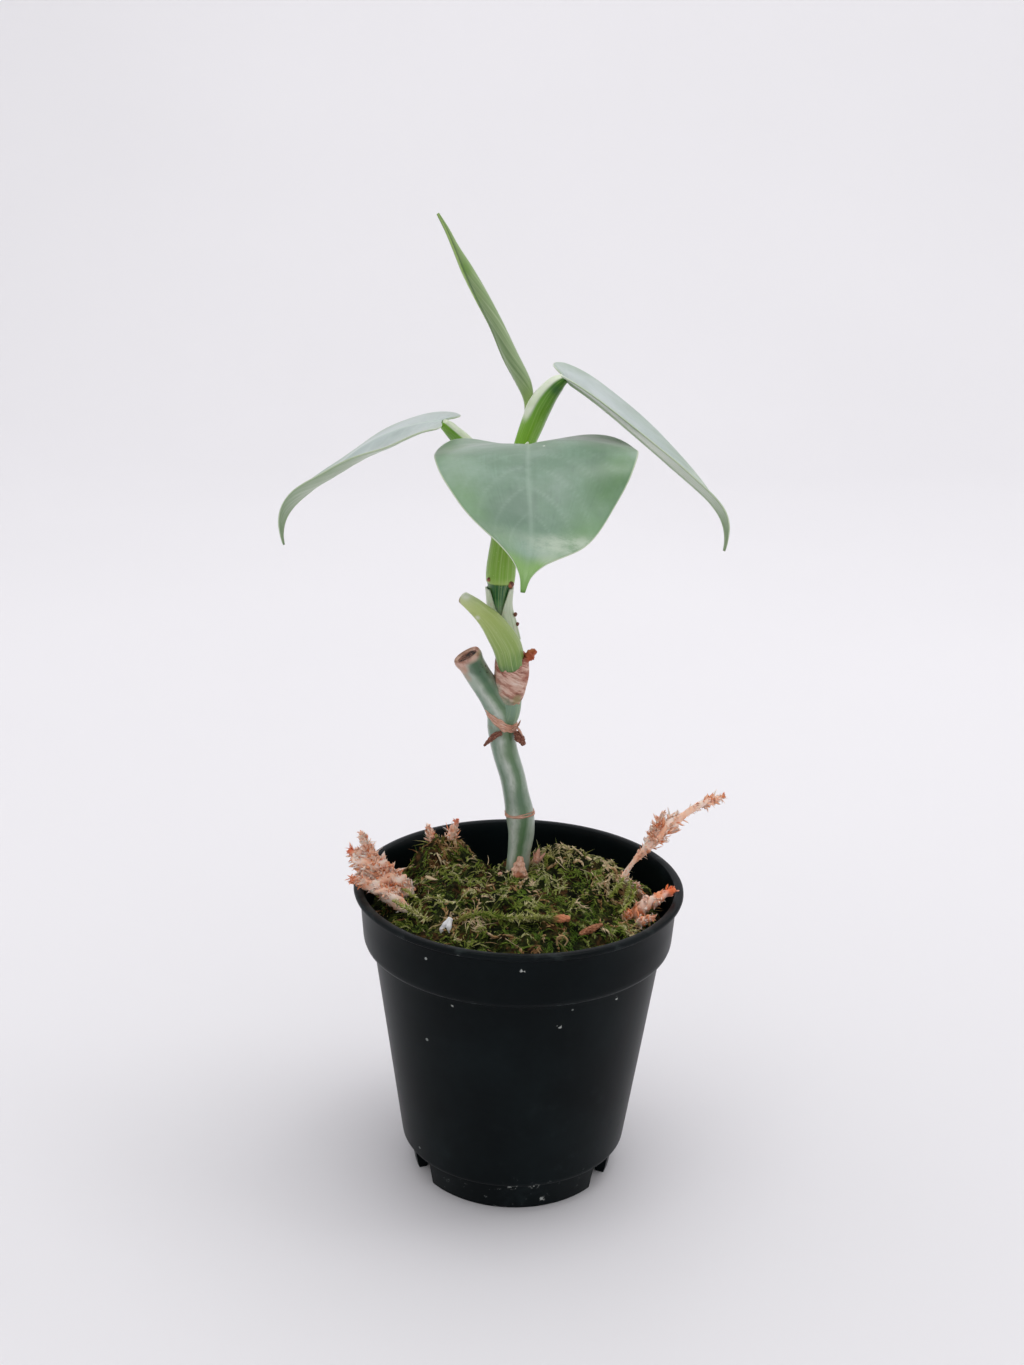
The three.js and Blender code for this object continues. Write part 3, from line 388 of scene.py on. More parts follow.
class Finish:
    # one material: its node tree, its shader, and the coordinates its patterns read
    def __init__(self, name, roughness, **sockets):
        self.material = bpy.data.materials.new(name)
        self.material.use_nodes = True
        self.tree = self.material.node_tree
        self.shader = self.tree.nodes["Principled BSDF"]
        self.shader.inputs["Roughness"].default_value = roughness
        for key, value in sockets.items():
            self.shader.inputs[key.replace("_", " ")].default_value = value
        self.object = node(self.tree, "ShaderNodeTexCoord").outputs["Object"]
        self.place = node(self.tree, "ShaderNodeAttribute", attribute_name="place").outputs["Vector"]
        self.tone = node(self.tree, "ShaderNodeAttribute", attribute_name="tone").outputs["Fac"]

    def pattern(self, group, **values):
        return node(self.tree, "ShaderNodeGroup", values, node_tree=group).outputs[0]

    def blotches(self, scale, low, high, roughness=0.55):
        return self.pattern(blotchGroup, Coordinates=self.object, Scale=scale, Low=low, High=high,
                            Roughness=roughness)

    def specks(self, scale, share, size):
        return self.pattern(speckGroup, Coordinates=self.object, Scale=scale, Share=share, Size=size)

    def fibres(self, around, along):
        return self.pattern(fibreGroup, Place=self.place, Round=around, Along=along)

    def near(self, point, low, high):
        # 1 at a place on the object, falling to 0 between two distances from it, in millimetres
        spot = [value * millimetre for value in point]
        gap = node(self.tree, "ShaderNodeVectorMath", {0: self.object, 1: spot},
                   operation="DISTANCE").outputs["Value"]
        return self.remap(gap, low * millimetre, high * millimetre, 1.0, 0.0)

    def axis(self, name):
        return separate(self.tree, self.object)[name]

    def part(self, name):
        return separate(self.tree, self.place)[name]

    def times(self, one, other):
        return sums(self.tree, "MULTIPLY", one, other)

    def plus(self, one, other):
        return sums(self.tree, "ADD", one, other)

    def remap(self, value, low, high, toLow=0.0, toHigh=1.0):
        return remap(self.tree, value, low, high, toLow, toHigh)

    def mix(self, factor, one, other):
        # a colour is a socket or a six-figure code
        one, other = (tint(colour) if isinstance(colour, str) else colour for colour in (one, other))
        return node(self.tree, "ShaderNodeMix", {0: factor, 6: one, 7: other}, data_type="RGBA").outputs[2]

    def over(self, body, mask, colour, strength=1.0):
        # lays a colour over the body where the mask is
        return self.mix(self.times(mask, strength), body, colour)

    def steps(self, value, low, high, stops):
        # colours at given values between a low and a high one
        levels = {"Value": value, "From Min": low, "From Max": high}
        share = node(self.tree, "ShaderNodeMapRange", levels).outputs[0]
        placed = [((at - low) / (high - low), code) for at, code in stops]
        return ramp(self.tree, share, placed, smooth=False)

    def heights(self, stops):
        # colours at given heights in millimetres
        placed = [(height * millimetre, code) for height, code in stops]
        return self.steps(self.axis("Z"), placed[0][0], placed[-1][0], placed)

    def spots(self, body, marks):
        # local colours: place, inner and outer distance, colour and strength
        for point, low, high, code, strength in marks:
            body = self.over(body, self.near(point, low, high), code, strength)
        return body

    def feed(self, name, socket):
        self.tree.links.new(socket, self.shader.inputs[name])

    def colour(self, socket):
        self.feed("Base Color", socket)

    def shine(self, socket):
        self.feed("Roughness", socket)

    def bump(self, height, distance, strength=1.0):
        sockets = {"Height": height, "Distance": distance * millimetre, "Strength": strength}
        self.feed("Normal", node(self.tree, "ShaderNodeBump", sockets).outputs[0])


stage = {
    "floorColours": ("e5e4e6", "e9e8ea"), "skyColours": ("eeedef", "fbfafd"), "sky": 1.02, "front": 0.72,
    "lightColour": "fdfcfe",
    # name, place, aim, size and energy
    "lights": [("overhead", (0.1, 0.35, 1.8), (0, 0.1, 0), 2.2, 2.4),
               ("wallWash", (0.2, 0.1, 2.0), (0, 2.1, 0.7), 1.2, 19),
               ("sideLight", (1.5, 0.1, 0.6), (0, 0, 0.12), 0.9, 0.8)],
}


def makeStage():
    # a pale floor that curves up far behind into a wall: straight, quarter circle, straight
    bend = np.linspace(0, np.pi / 2, 24)
    y = np.concatenate([[-3.0], 1.2 + 0.9 * np.sin(bend), [2.1]])
    z = np.concatenate([[0.0], 0.9 - 0.9 * np.cos(bend), [3.2]])
    verts = [(float(side), float(b), float(c)) for b, c in zip(y, z) for side in (-4.0, 4.0)]
    faces = [(2 * i, 2 * i + 1, 2 * i + 3, 2 * i + 2) for i in range(len(y) - 1)]
    mesh = bpy.data.meshes.new("floor")
    mesh.from_pydata(verts, [], faces)
    mesh.shade_smooth()
    floor = bpy.data.objects.new("floor", mesh)
    bpy.context.collection.objects.link(floor)
    paper = Finish("paleFloor", 0.8)
    paper.colour(paper.mix(paper.blotches(2.0, 0.1, 0.9, 0.4), *stage["floorColours"]))
    mesh.materials.append(paper.material)

    world = bpy.data.worlds.new("softRoom")
    world.use_nodes = True
    bpy.context.scene.world = world
    tree = world.node_tree
    way = separate(tree, node(tree, "ShaderNodeTexCoord").outputs["Generated"])
    sky = ramp(tree, remap(tree, way[2], -0.2, 1.0), list(zip((0.0, 1.0), stage["skyColours"])))
    shade = remap(tree, sums(tree, "SUBTRACT", way[1], way[2]), -1.1, -0.2, stage["front"], stage["sky"])
    tree.links.new(sky, tree.nodes["Background"].inputs["Color"])
    tree.links.new(shade, tree.nodes["Background"].inputs["Strength"])

    for name, place, aim, size, energy in stage["lights"]:
        lamp = bpy.data.lights.new(name, "AREA")
        lamp.size = size
        lamp.energy = energy
        lamp.color = tint(stage["lightColour"])[:3]
        light = bpy.data.objects.new(name, lamp)
        bpy.context.collection.objects.link(light)
        light.location = place
        light.rotation_euler = (Vector(aim) - Vector(place)).to_track_quat("-Z", "Y").to_euler()
    bpy.context.scene.view_settings.view_transform = "Standard"


view = {"location": (0.0, -0.4826, 0.3168), "right": (0.99964, 0.01463, 0.02258),
        "up": (-0.02599, 0.30742, 0.95122),
        "forward": (-0.00697, 0.95146, -0.30769), "lens": 44.84, "sensor": 36.0}


def makeCamera():
    data = bpy.data.cameras.new("camera")
    data.sensor_fit = "VERTICAL"
    data.sensor_height = view["sensor"]
    data.lens = view["lens"]
    data.clip_start, data.clip_end = 0.01, 20
    camera = bpy.data.objects.new("camera", data)
    bpy.context.collection.objects.link(camera)
    columns = [Vector(view["right"]), Vector(view["up"]), -Vector(view["forward"])]
    camera.matrix_world = Matrix.Translation(view["location"]) @ Matrix(columns).transposed().to_4x4()
    bpy.context.scene.camera = camera


makeStage()
makeCamera()
print("stage ready")

pot = {
    "around": 180, "slotDegrees": 18, "slots": (90, 210, 330), "drainHoles": 6, "drainRadius": 2.4,
    "drainCircle": 20.0,
    "holeSides": 24, "boss": 10.6, "floorEdge": 27.7, "floorLevels": (1.6, 3.2),
    "ripple": {"depth": 0.12, "height": 44, "span": 30, "waves": 3, "turn": 0.8},
    "under": [(10, 0), (10.6, 1.6), (27.7, 1.6)],
    "foot": [(28.7, 1.6), (28.9, 0.3), (29.3, 0), (31.3, 0), (31.6, 0.15), (31.75, 0.5)],
    "wall": [(33.48, 9.5), (33.56, 9.75), (34.6, 9.9), (35.2, 10.1), (35.62, 10.7), (35.8, 11.6), (40.2, 43),
             (44.8, 75.6), (44.95, 76.6), (45.4, 77.5), (46.2, 77.8), (47.0, 77.95), (47.6, 78.4),
             (47.95, 79.3), (48.1, 80.4), (48.6, 87), (48.95, 92.6), (49.15, 93.5), (49.7, 94.0),
             (50.4, 94.2), (50.85, 94.55), (51, 95.0), (50.95, 95.45), (50.7, 95.8), (50.3, 95.97),
             (49.6, 96.0), (48.7, 95.98), (48.25, 95.75), (48.05, 95.3), (47.7, 93.9), (47.35, 92.4),
             (47.0, 86), (46.75, 79.9), (46.6, 78.4), (46.2, 77.6), (45.4, 77.2), (43.9, 77.0), (43.6, 76.6),
             (38.9, 43), (34.45, 12.2), (34.1, 11), (33.2, 10), (32.0, 9.5)],
    "inside": [(30.9, 3.8), (30.3, 3.2), (27.7, 3.2)],
    # pale marks: chips in the plastic, and the first four, on the step at the wall's foot, are painted
    # glints; place and reach
    "chipsAndGlints": [((-1.0, -33.7, 9.6), 1.5), ((0.4, -33.8, 9.3), 2.21), ((1.8, -33.7, 9.5), 2.04),
              ((7.4, -33.2, 9.4), 2.55), ((9.5, -30.3, 3.0), 1.7), ((1.6, -48.9, 90.6), 0.935),
              ((2.2, -48.9, 90.2), 0.765), ((-27.4, -42.6, 94.4), 1.19), ((-18.4, -41, 74.6), 0.765),
              ((29.6, -33.6, 73.8), 1.19), ((29.9, -33.4, 74.5), 0.85), ((13.1, -41.6, 69.2), 0.85),
              ((12.4, -41.8, 69.4), 0.68)],
}


def circlePoints(centre, radius, count):
    turn = fullTurn(count)
    return centre + radius * np.column_stack([np.cos(turn), np.sin(turn)])


def potPart():
    # rings of a profile turned round the axis; the foot is left out over each slot and its ends are closed
    profile = np.array(pot["under"] + pot["foot"] + pot["wall"] + pot["inside"])
    rows, around = len(profile), pot["around"]
    turn = np.radians(1 + np.arange(around) * 360 / around)
    wave = pot["ripple"]
    swell = wave["depth"] * np.exp(-((profile[:, 1] - wave["height"]) / wave["span"]) ** 2)
    reach = profile[:, 0][:, None] + swell[:, None] * np.cos(wave["waves"] * turn + wave["turn"])[None]
    height = np.broadcast_to(profile[:, 1][:, None], reach.shape)
    grid = np.stack([reach * np.cos(turn), reach * np.sin(turn), height], axis=-1)
    index = np.arange(rows * around).reshape(rows, around)
    after = np.roll(index, -1, axis=1)
    quads = np.stack([index[:-1], after[:-1], after[1:], index[1:]], axis=-1)
    degrees = np.degrees(turn) + 180 / around
    apart = np.abs((degrees[None] - np.array(pot["slots"])[:, None] + 180) % 360 - 180)
    slotted = (apart < pot["slotDegrees"] / 2).any(axis=0)
    edge, outer = len(pot["under"]) - 1, len(pot["under"]) + len(pot["foot"])
    inner = rows - len(pot["inside"]) - 1
    keep = np.ones((rows - 1, around), bool)
    keep[edge:outer, slotted] = False
    keep[inner:, slotted] = False
    keep[edge - 1] = False  # a plate with drain holes takes this ring's place
    faces = [quads[keep]]
    for low, high in ((outer, inner), (rows - 1, edge)):  # top of each slot, and the floor's edge in it
        faces.append(np.stack([index[high], after[high], after[low], index[low]], axis=-1)[slotted])
    loop = np.array(list(range(edge, outer + 1)) + list(range(inner, rows)))
    corners = np.array(geometry.tessellate_polygon([[Vector((*point, 0)) for point in profile[loop]]]))
    starts = np.flatnonzero(slotted & ~np.roll(slotted, 1))
    stops = (np.flatnonzero(slotted & ~np.roll(slotted, -1)) + 1) % around
    tris = [index[loop, column][corners][:, ::-1] for column in starts]
    tris += [index[loop, column][corners] for column in stops]

    centres = circlePoints(np.zeros(2), pot["drainCircle"], pot["drainHoles"])
    circles = [circlePoints(centre, pot["drainRadius"], pot["holeSides"]) for centre in centres]
    verts, total, count = [grid.reshape(-1, 3)], rows * around, pot["holeSides"] * len(circles)
    for level, rings in zip(pot["floorLevels"], ((edge, edge - 1), (rows - 1,))):
        loops = [grid[ring, :, :2] for ring in rings] + circles
        sizes = [len(part) for part in loops]
        pairs = [(int(start + i), int(start + (i + 1) % size))
                 for start, size in zip(np.cumsum([0] + sizes), sizes) for i in range(size)]
        points = [Vector(point) for point in np.concatenate(loops)]
        made = geometry.delaunay_2d_cdt(points, pairs, [], 0, 1e-7)
        flat, triangles = np.array(made[0]), np.array(made[2])
        middle = flat[triangles].mean(axis=1)
        far = np.hypot(*middle.T)
        solid = (far < pot["floorEdge"] + 0.1) & ((far > pot["boss"] + 0.1) | (len(rings) == 1))
        for centre in centres:
            solid &= np.hypot(*(middle - centre).T) > pot["drainRadius"] * 0.99
        ids = np.concatenate([index[ring] for ring in rings] + [np.arange(total, total + count)])
        plate = ids[np.array([source[0] for source in made[3]])[triangles[solid]]]
        one, two = (flat[triangles[solid]][:, k] - flat[triangles[solid]][:, 0] for k in (1, 2))
        turned = (one[:, 0] * two[:, 1] > one[:, 1] * two[:, 0]) != (len(rings) == 1)
        plate[turned] = plate[turned][:, ::-1]
        tris.append(plate)
        verts.append(np.column_stack([np.concatenate(circles), np.full(count, level)]))
        total += count
    ring = np.arange(count).reshape(-1, pot["holeSides"])
    following = np.roll(ring, -1, axis=1)
    low, high = rows * around, rows * around + count
    holes = np.stack([low + following, low + ring, high + ring, high + following], axis=-1)
    faces.append(holes.reshape(-1, 4))
    verts.append(np.array([[0, 0, 0.0]]))
    tris.append(np.stack([np.full(around, total), after[0], index[0]], axis=-1))
    verts, quads, tris = np.concatenate(verts), np.concatenate(faces), np.concatenate(tris)
    used = np.zeros(len(verts), bool)  # leaves out the foot's points in the slots
    used[quads], used[tris] = True, True
    order = np.cumsum(used) - 1
    verts = verts[used]
    return {"verts": verts, "quads": order[quads], "tris": order[tris], "place": np.zeros(verts.shape),
            "tone": np.zeros(len(verts))}


def potPlastic():
    finish = Finish("potPlastic", 0.4, Specular_IOR_Level=0.06, Coat_Roughness=0.2)
    height = finish.axis("Z")
    body = finish.mix(finish.blotches(35.0, 0.35, 0.75), "070d0f", "0e1618")
    haze = finish.times(finish.blotches(110.0, 0.5, 0.8, 0.7), finish.blotches(14.0, 0.45, 0.7))
    body = finish.over(body, haze, "3a4648", 0.22)
    lip = finish.remap(height, 0.0938, 0.0952)
    body = finish.over(body, finish.times(lip, finish.blotches(130.0, 0.55, 0.72)), "56605f", 0.2)
    # painted highlight: a thin broken pale line along the ledge under the rim band
    ledgeHighlight = finish.times(finish.remap(height, 0.0768, 0.0775), finish.remap(height, 0.0788, 0.0779))
    body = finish.over(body, finish.times(ledgeHighlight, finish.blotches(160.0, 0.5, 0.62, 0.75)), "7c8586", 0.5)
    foot = finish.times(finish.remap(height, 0.016, 0.004), finish.blotches(330.0, 0.62, 0.68, 0.8))
    body = finish.over(body, foot, "8d9290", 0.5)
    grains = finish.times(finish.specks(420.0, 0.012, 0.26), finish.blotches(26.0, 0.4, 0.6))
    body = finish.over(body, grains, "b4bab6", 0.7)
    # pale chips in the plastic, with painted glints on the step at the wall's foot
    chipsAndGlints = 0.0
    for point, reach in pot["chipsAndGlints"]:
        chipsAndGlints = finish.plus(chipsAndGlints, finish.near(point, 0.2, reach))
    finish.colour(finish.over(body, finish.times(chipsAndGlints, finish.blotches(900.0, 0.52, 0.58, 0.4)),
                              "c4c8c3", 0.8))
    finish.shine(finish.remap(haze, 0.0, 1.0, 0.36, 0.55))
    finish.feed("Coat Weight", finish.times(lip, 0.05))
    grain = noise(finish.tree, finish.object, 1300.0, 2.0)
    finish.bump(finish.plus(grain, finish.times(haze, 0.6)), 0.02, 0.5)
    return finish.material


makePiece("potShell", [potPart()], potPlastic(), ["nursery_pot"], 32)

moss = {
    "underside": 78.3, "rimRadius": 46.0, "crest": 96.0, "edge": 84.5, "frontRise": 4.0, "leftRise": 1.5,
    "doming": 2.4,
    "lumps": 60, "lumpRadius": (3, 6), "lumpRise": (-1.5, 2.3), "seed": 29,
    "hummocks": [(-25.5, 21, 10.4, 4.2), (-36, 24, 7, 2.5), (12, 13, 13, 5.6), (27, 8, 12, 5.4),
                 (42, 14, 9, 5), (-8, 36, 9, -10), (-8, 24, 7, -8.5), (-8, 14.5, 5, -6), (-28, -4, 9, 1.8),
                 (4, -22, 13, 1.6)],
    "balls": [(-26, 21.5, 10.2, 6.6), (13, 12, 9, 1.8), (29, 6, 9, 1.6), (-2, -12, 8, 1.0)],
    "insets": (3, 1.5), "leastDepth": 1.2, "lip": 96.3, "wallRoom": 46.7, "lipRoom": 48.5, "crumbs": 900,
    "crumbRise": 1.6, "rings": 95, "spokes": 270,
    "patches": [(14, -32, 11, -0.16), (12, 10, 13, 0.42), (-27, 20, 10, 0.08), (-6, -10, 10, 0.1),
                (30, -12, 8, 0.12), (28, 8, 11, 0.3), (-34, -12, 8, 0.14), (-4, 22, 9, -0.2),
                (34, 22, 8, -0.1), (-2, -36, 8, 0.05)],
    "creeping": {"stems": 540, "leaves": 18, "length": (3.5, 8.0), "leaf": (1.0, 2.0), "width": (0.24, 0.46),
                 "lift": 0.3, "tones": (0.06, 0.8)},
    "bright": {"stems": 400, "leaves": 17, "length": (2.5, 6.0), "leaf": (0.7, 1.3), "width": (0.16, 0.3),
               "lift": 0.9, "tones": (0.32, 0.95)},
    "dead": {"stems": 170, "leaves": 13, "length": (3.0, 7.0), "leaf": (1.1, 2.6), "width": (0.28, 0.62),
             "lift": 0.5, "tones": (0.0, 1.0),
             "spots": [(-17, -22, 5), (33, -17, 5), (-24, 17, 6), (12, 14, 7), (30, 3, 5), (0, -4, 6),
                       (-36, -2, 5), (8, -37, 6)]},
    "green": {"tufts": 260, "each": 8, "length": (1.2, 3.0), "width": (0.14, 0.28), "climb": 0.1, "curl": 0.8,
              "tones": (0.0, 0.8)},
    "threads": {"tufts": 110, "each": 1, "length": (3.0, 6.5), "width": (0.1, 0.17), "climb": 0.1,
                "curl": 0.55, "tones": (0.5, 1.0)},
    "brown": {"tufts": 130, "each": 8, "length": (1.0, 3.0), "width": (0.16, 0.55), "climb": 0.1, "curl": 0.8,
              "tones": (0.0, 1.0)},
    # listed stems: path, leaves, leaf length, width, tone and seed
    "leafy": [([[32.4, 0.4, 97.6], [30.6, -4, 97.0], [28, -9, 95.6]], 110, 1.7, 0.5, 0.72, 3),
              ([[34.4, 0, 97.2], [33.8, -5, 96.2], [32.4, -10, 94.6]], 90, 1.6, 0.45, 0.8, 9),
              ([[-38, -14, 95], [-32, -18.6, 93.8], [-26.4, -22.5, 93]], 120, 1.9, 0.6, 0.9, 4),
              ([[-37, -5, 95.5], [-34, -8, 95.2], [-31, -9, 93.4]], 60, 1.8, 0.5, 0.8, 5),
              ([[-18, -25.6, 94.4], [-11, -24.6, 96.2], [-4, -26.6, 96.2], [3, -26.4, 96.4]],
               260, 2.2, 0.6, 0.68, 6),
              ([[2, -26.2, 96], [7, -26.8, 96.8], [12.4, -26.4, 96.8]], 150, 1.6, 0.5, 0.66, 8),
              ([[36, -3, 97.4], [34.6, -9, 95.4], [31, -15, 93.6]], 90, 1.7, 0.5, 0.72, 7)],
    "loop": [[11.6, -37.2, 93.2], [11.7, -37.4, 95.6], [13.2, -37.8, 96.5], [14.5, -38, 95.2],
             [13.8, -37.8, 93.4]],
    "flakes": [((4.0, 8.4, 98.4), (5.6, 8.0, 102.2), 1.3, 0.2),
               ((3.4, 8.6, 98.2), (3.2, 8.0, 101.0), 0.9, 0.3),
               ((10.5, 13.0, 101.6), (14.5, 12.4, 102.4), 0.8, 0.3),
               ((15.2, 12.6, 101.6), (20.2, 12.0, 101.8), 0.9, 0.3),
               ((21.0, 10.5, 100.4), (24.0, 9.4, 99.2), 0.8, 0.2),
               ((-29.0, 3.0, 95.6), (-25.0, 1.0, 95.4), 0.9, 0.3)],
    # how bright the moss is: middle, waves of a period, and painted light where it stands up and painted
    # shade where it dips, by the crown's rise
    "light": {"middle": 0.48, "waves": 0.14, "period": 13.0, "crown": 0.46, "crownRise": 1.8, "spread": 0.09},
}


def lumpList():
    # the frame's own seeded lumps: x, y, radius, rise
    state = moss["seed"]
    lumps = []
    for _ in range(moss["lumps"]):
        draws = []
        for _ in range(4):
            state = (state * 1664525 + 1013904223) % 4294967296
            draws.append(state / 4294967296)
        turn, reach = 2 * np.pi * draws[0], moss["rimRadius"] * np.sqrt(draws[1])
        radius, rise = between(moss["lumpRadius"], draws[2]), between(moss["lumpRise"], draws[3])
        lumps.append((reach * np.cos(turn), reach * np.sin(turn), radius, rise))
    return np.array(lumps)


mossRandom = np.random.default_rng(7)
crumbReach = 45 * np.sqrt(mossRandom.random(moss["crumbs"]))
crumbTurn = 2 * np.pi * mossRandom.random(moss["crumbs"])
crumbs = np.column_stack([crumbReach * np.cos(crumbTurn), crumbReach * np.sin(crumbTurn),
                          1.0 + 1.7 * mossRandom.random(moss["crumbs"]),
                          moss["crumbRise"] * (2 * mossRandom.random(moss["crumbs"]) - 1)])
mossBells = np.vstack([np.array(moss["hummocks"], float), lumpList(), crumbs])


def mossHeight(x, y, bells=mossBells):
    # a mound that falls to the rim as a power of the distance, plus a bell for each hummock, lump and crumb
    reach = np.hypot(x, y) / moss["rimRadius"]
    edge = moss["edge"] + (-moss["frontRise"] * y - moss["leftRise"] * x) / moss["rimRadius"]
    height = edge + (moss["crest"] - edge) * (1 - reach ** moss["doming"])
    for cx, cy, radius, rise in bells:
        height = height + rise * np.exp(-((x - cx) ** 2 + (y - cy) ** 2) / (0.5 * radius**2))
    for cx, cy, radius, rise in moss["balls"]:
        height = height + rise * np.exp(-(((x - cx) ** 2 + (y - cy) ** 2) / radius**2) ** 2)
    return np.maximum(height, moss["underside"] + moss["leastDepth"])


def crown(x, y):
    # how far a place stands above (1) or below (-1) the smooth hummocks round it
    rise = mossHeight(x, y) - mossHeight(x, y, mossBells[:len(moss["hummocks"])])
    return np.clip(rise / moss["light"]["crownRise"], -1, 1)


def patchTone(x, y, random):
    # how bright the moss is at a place: waves, named patches, and painted light where it stands up with
    # painted shade where it dips
    light = moss["light"]
    waves = drift(x, y, 2.2, light["period"])
    tone = light["middle"] + light["waves"] * waves + light["crown"] * crown(x, y)
    for cx, cy, radius, shift in moss["patches"]:
        tone = tone + shift * np.exp(-((x - cx) ** 2 + (y - cy) ** 2) / radius**2)
    return np.clip(tone + light["spread"] * random.normal(size=x.shape), 0, 1)


def outerReach(turn):
    # how far out the moss goes: less far at the back, and a little less on the right
    back, right = moss["insets"]
    return moss["rimRadius"] - back * np.maximum(np.sin(turn), 0) - right * np.maximum(np.cos(turn), 0)


def drift(x, y, phase, period):
    # a wandering field between about -1 and 1: three slanted waves
    k = 2 * np.pi / period
    return (np.sin(k * (x + 0.4 * y) + phase) + np.sin(k * (0.8 * y - 0.5 * x) + 2.3 * phase)
            + np.sin(1.7 * k * (0.6 * x + 0.7 * y) + 4.1 * phase)) / 2.2


def mossCorePart():
    # rings of the height over the bed, from its rim to its middle, with a skirt down to its flat underside
    turn = fullTurn(moss["spokes"])
    share = np.linspace(0, 1, moss["rings"] + 1)[1:]
    share, turn = np.meshgrid(share, turn, indexing="ij")
    reach = outerReach(turn) * share**0.85
    x, y = reach * np.cos(turn), reach * np.sin(turn)
    rough = 0.4 * drift(x, y, 3.3, 2.7) + 0.25 * drift(y, x, 1.1, 1.6)
    grid = np.stack([x, y, mossHeight(x, y) + rough * fade(share, 0, 0.05)], axis=-1)[::-1]
    skirt = grid[0].copy()
    skirt[:, 2] = moss["underside"]
    grid = np.concatenate([skirt[None], grid])
    poles = np.array([[0, 0, moss["underside"]], [0, 0, float(mossHeight(np.array(0.0), np.array(0.0)))]])
    waves = drift(grid[..., 0], grid[..., 1], 1.0, 9.0)
    # a low tone keeps the bed near black: painted shade between the strands
    tone = 0.05 + 0.07 * waves + 0.06 * mossRandom.random(grid.shape[:2])
    return closedPart(grid, np.zeros(grid.shape), tone, poles)


def scatter(random, count, margin):
    # even random places over the bed, at least the margin in from its rim
    turn = 2 * np.pi * random.random(count)
    reach = (outerReach(turn) - margin) * np.sqrt(random.random(count))
    return reach * np.cos(turn), reach * np.sin(turn)


def pullIn(x, y, margin):
    # factors that bring places back inside the rim
    limit = outerReach(np.arctan2(y, x)) - margin
    return np.minimum(1, limit / np.maximum(np.hypot(x, y), 1e-6))


def mossStrands(kind, seed, rings=3):
    # tufts over the bed: the strands of each share a lean and a colour, lie low, and curl
    random = np.random.default_rng(seed)
    tufts, count = kind["tufts"], kind["tufts"] * kind["each"]
    x, y = scatter(random, tufts, 0.5)
    way = 3.1 * drift(x, y, 0.7, 17.0) + random.normal(size=tufts) * 0.6
    lean = unit(np.column_stack([np.cos(way), np.sin(way), kind["climb"] + 0.25 * random.random(tufts)]))
    low, high = kind["tones"]
    patch = patchTone(x, y, random)
    pick = np.repeat(np.arange(tufts), kind["each"])
    spot = np.column_stack([x, y])[pick] + random.normal(size=(count, 2)) * 0.9
    spot *= pullIn(*spot.T, 0.3)[:, None]
    roots = np.column_stack([spot, mossHeight(spot[:, 0], spot[:, 1]) - 0.35])
    directions = unit(lean[pick] + random.normal(size=(count, 3)) * np.array([0.6, 0.6, 0.3]))
    bends = random.normal(size=(count, 3)) * kind["curl"] * np.array([1, 1, 0.4]) + np.array([0, 0, -0.35])
    length = between(kind["length"], random.random(count))
    width = between(kind["width"], random.random(count))
    tones = np.clip(low + (high - low) * (patch[pick] + random.normal(size=count) * 0.14), 0, 1)
    return strandPart(roots, directions, length, width, bends, tones, rings, 0.6)


def creepingStems(kind, seed):
    # leafy stems that creep over the bed: small leaves on both sides of each, shorter towards its tip
    random = np.random.default_rng(seed)
    count, leaves = kind["stems"], kind["leaves"]
    x, y = scatter(random, count, 1.5)
    spots = np.array(kind.get("spots", []))
    if len(spots):
        chosen = spots[random.integers(len(spots), size=count)]
        gathered = random.random(count) < 0.65
        x, y = (np.where(gathered, chosen[:, k] + chosen[:, 2] * random.normal(size=count) * 0.7, value)
                for k, value in enumerate((x, y)))
    patch = patchTone(x, y, random)
    length = between(kind["length"], random.random(count))
    way = 3.1 * drift(x, y, 0.7, 19.0) + random.normal(size=count) * 0.5
    along = (np.arange(leaves) + 0.5)[None] / leaves
    heading = way[:, None] + random.normal(size=(count, 1)) * 1.1 * along
    x = x[:, None] + length[:, None] * along * np.cos(heading)
    y = y[:, None] + length[:, None] * along * np.sin(heading)
    inward = pullIn(x, y, 0.4)
    x, y = x * inward, y * inward
    arch = kind["lift"] * (0.2 + random.random((count, 1))) * np.sin(np.pi * along)
    roots = np.stack([x, y, mossHeight(x, y) + arch - 0.1], axis=-1)
    forward = unit(np.gradient(roots, axis=1) + 1e-9)
    side = np.stack([-np.sin(heading), np.cos(heading), np.zeros(heading.shape)], axis=-1)
    side *= np.where(np.arange(leaves) % 2, 1, -1)[None, :, None]
    spread = 0.4 + 0.6 * random.random((count, 1, 1))
    directions = forward + side * spread + random.normal(size=roots.shape) * 0.22 + np.array([0, 0, 0.28])
    leaf = between(kind["leaf"], random.random((count, 1))) * (1.1 - 0.5 * along)
    width = np.repeat(between(kind["width"], random.random((count, 1))), leaves, axis=1)
    low, high = kind["tones"]
    tones = low + (high - low) * (patch[:, None] + 0.14 * along + random.normal(size=leaf.shape) * 0.07)
    bends = forward * 0.25 + random.normal(size=roots.shape) * 0.15 + np.array([0, 0, -0.3])
    roots, directions, bends = (values.reshape(-1, 3) for values in (roots, unit(directions), bends))
    return strandPart(roots, directions, leaf.ravel(), width.ravel(), bends,
                      np.clip(tones.ravel(), 0, 1), 3, 0.3)


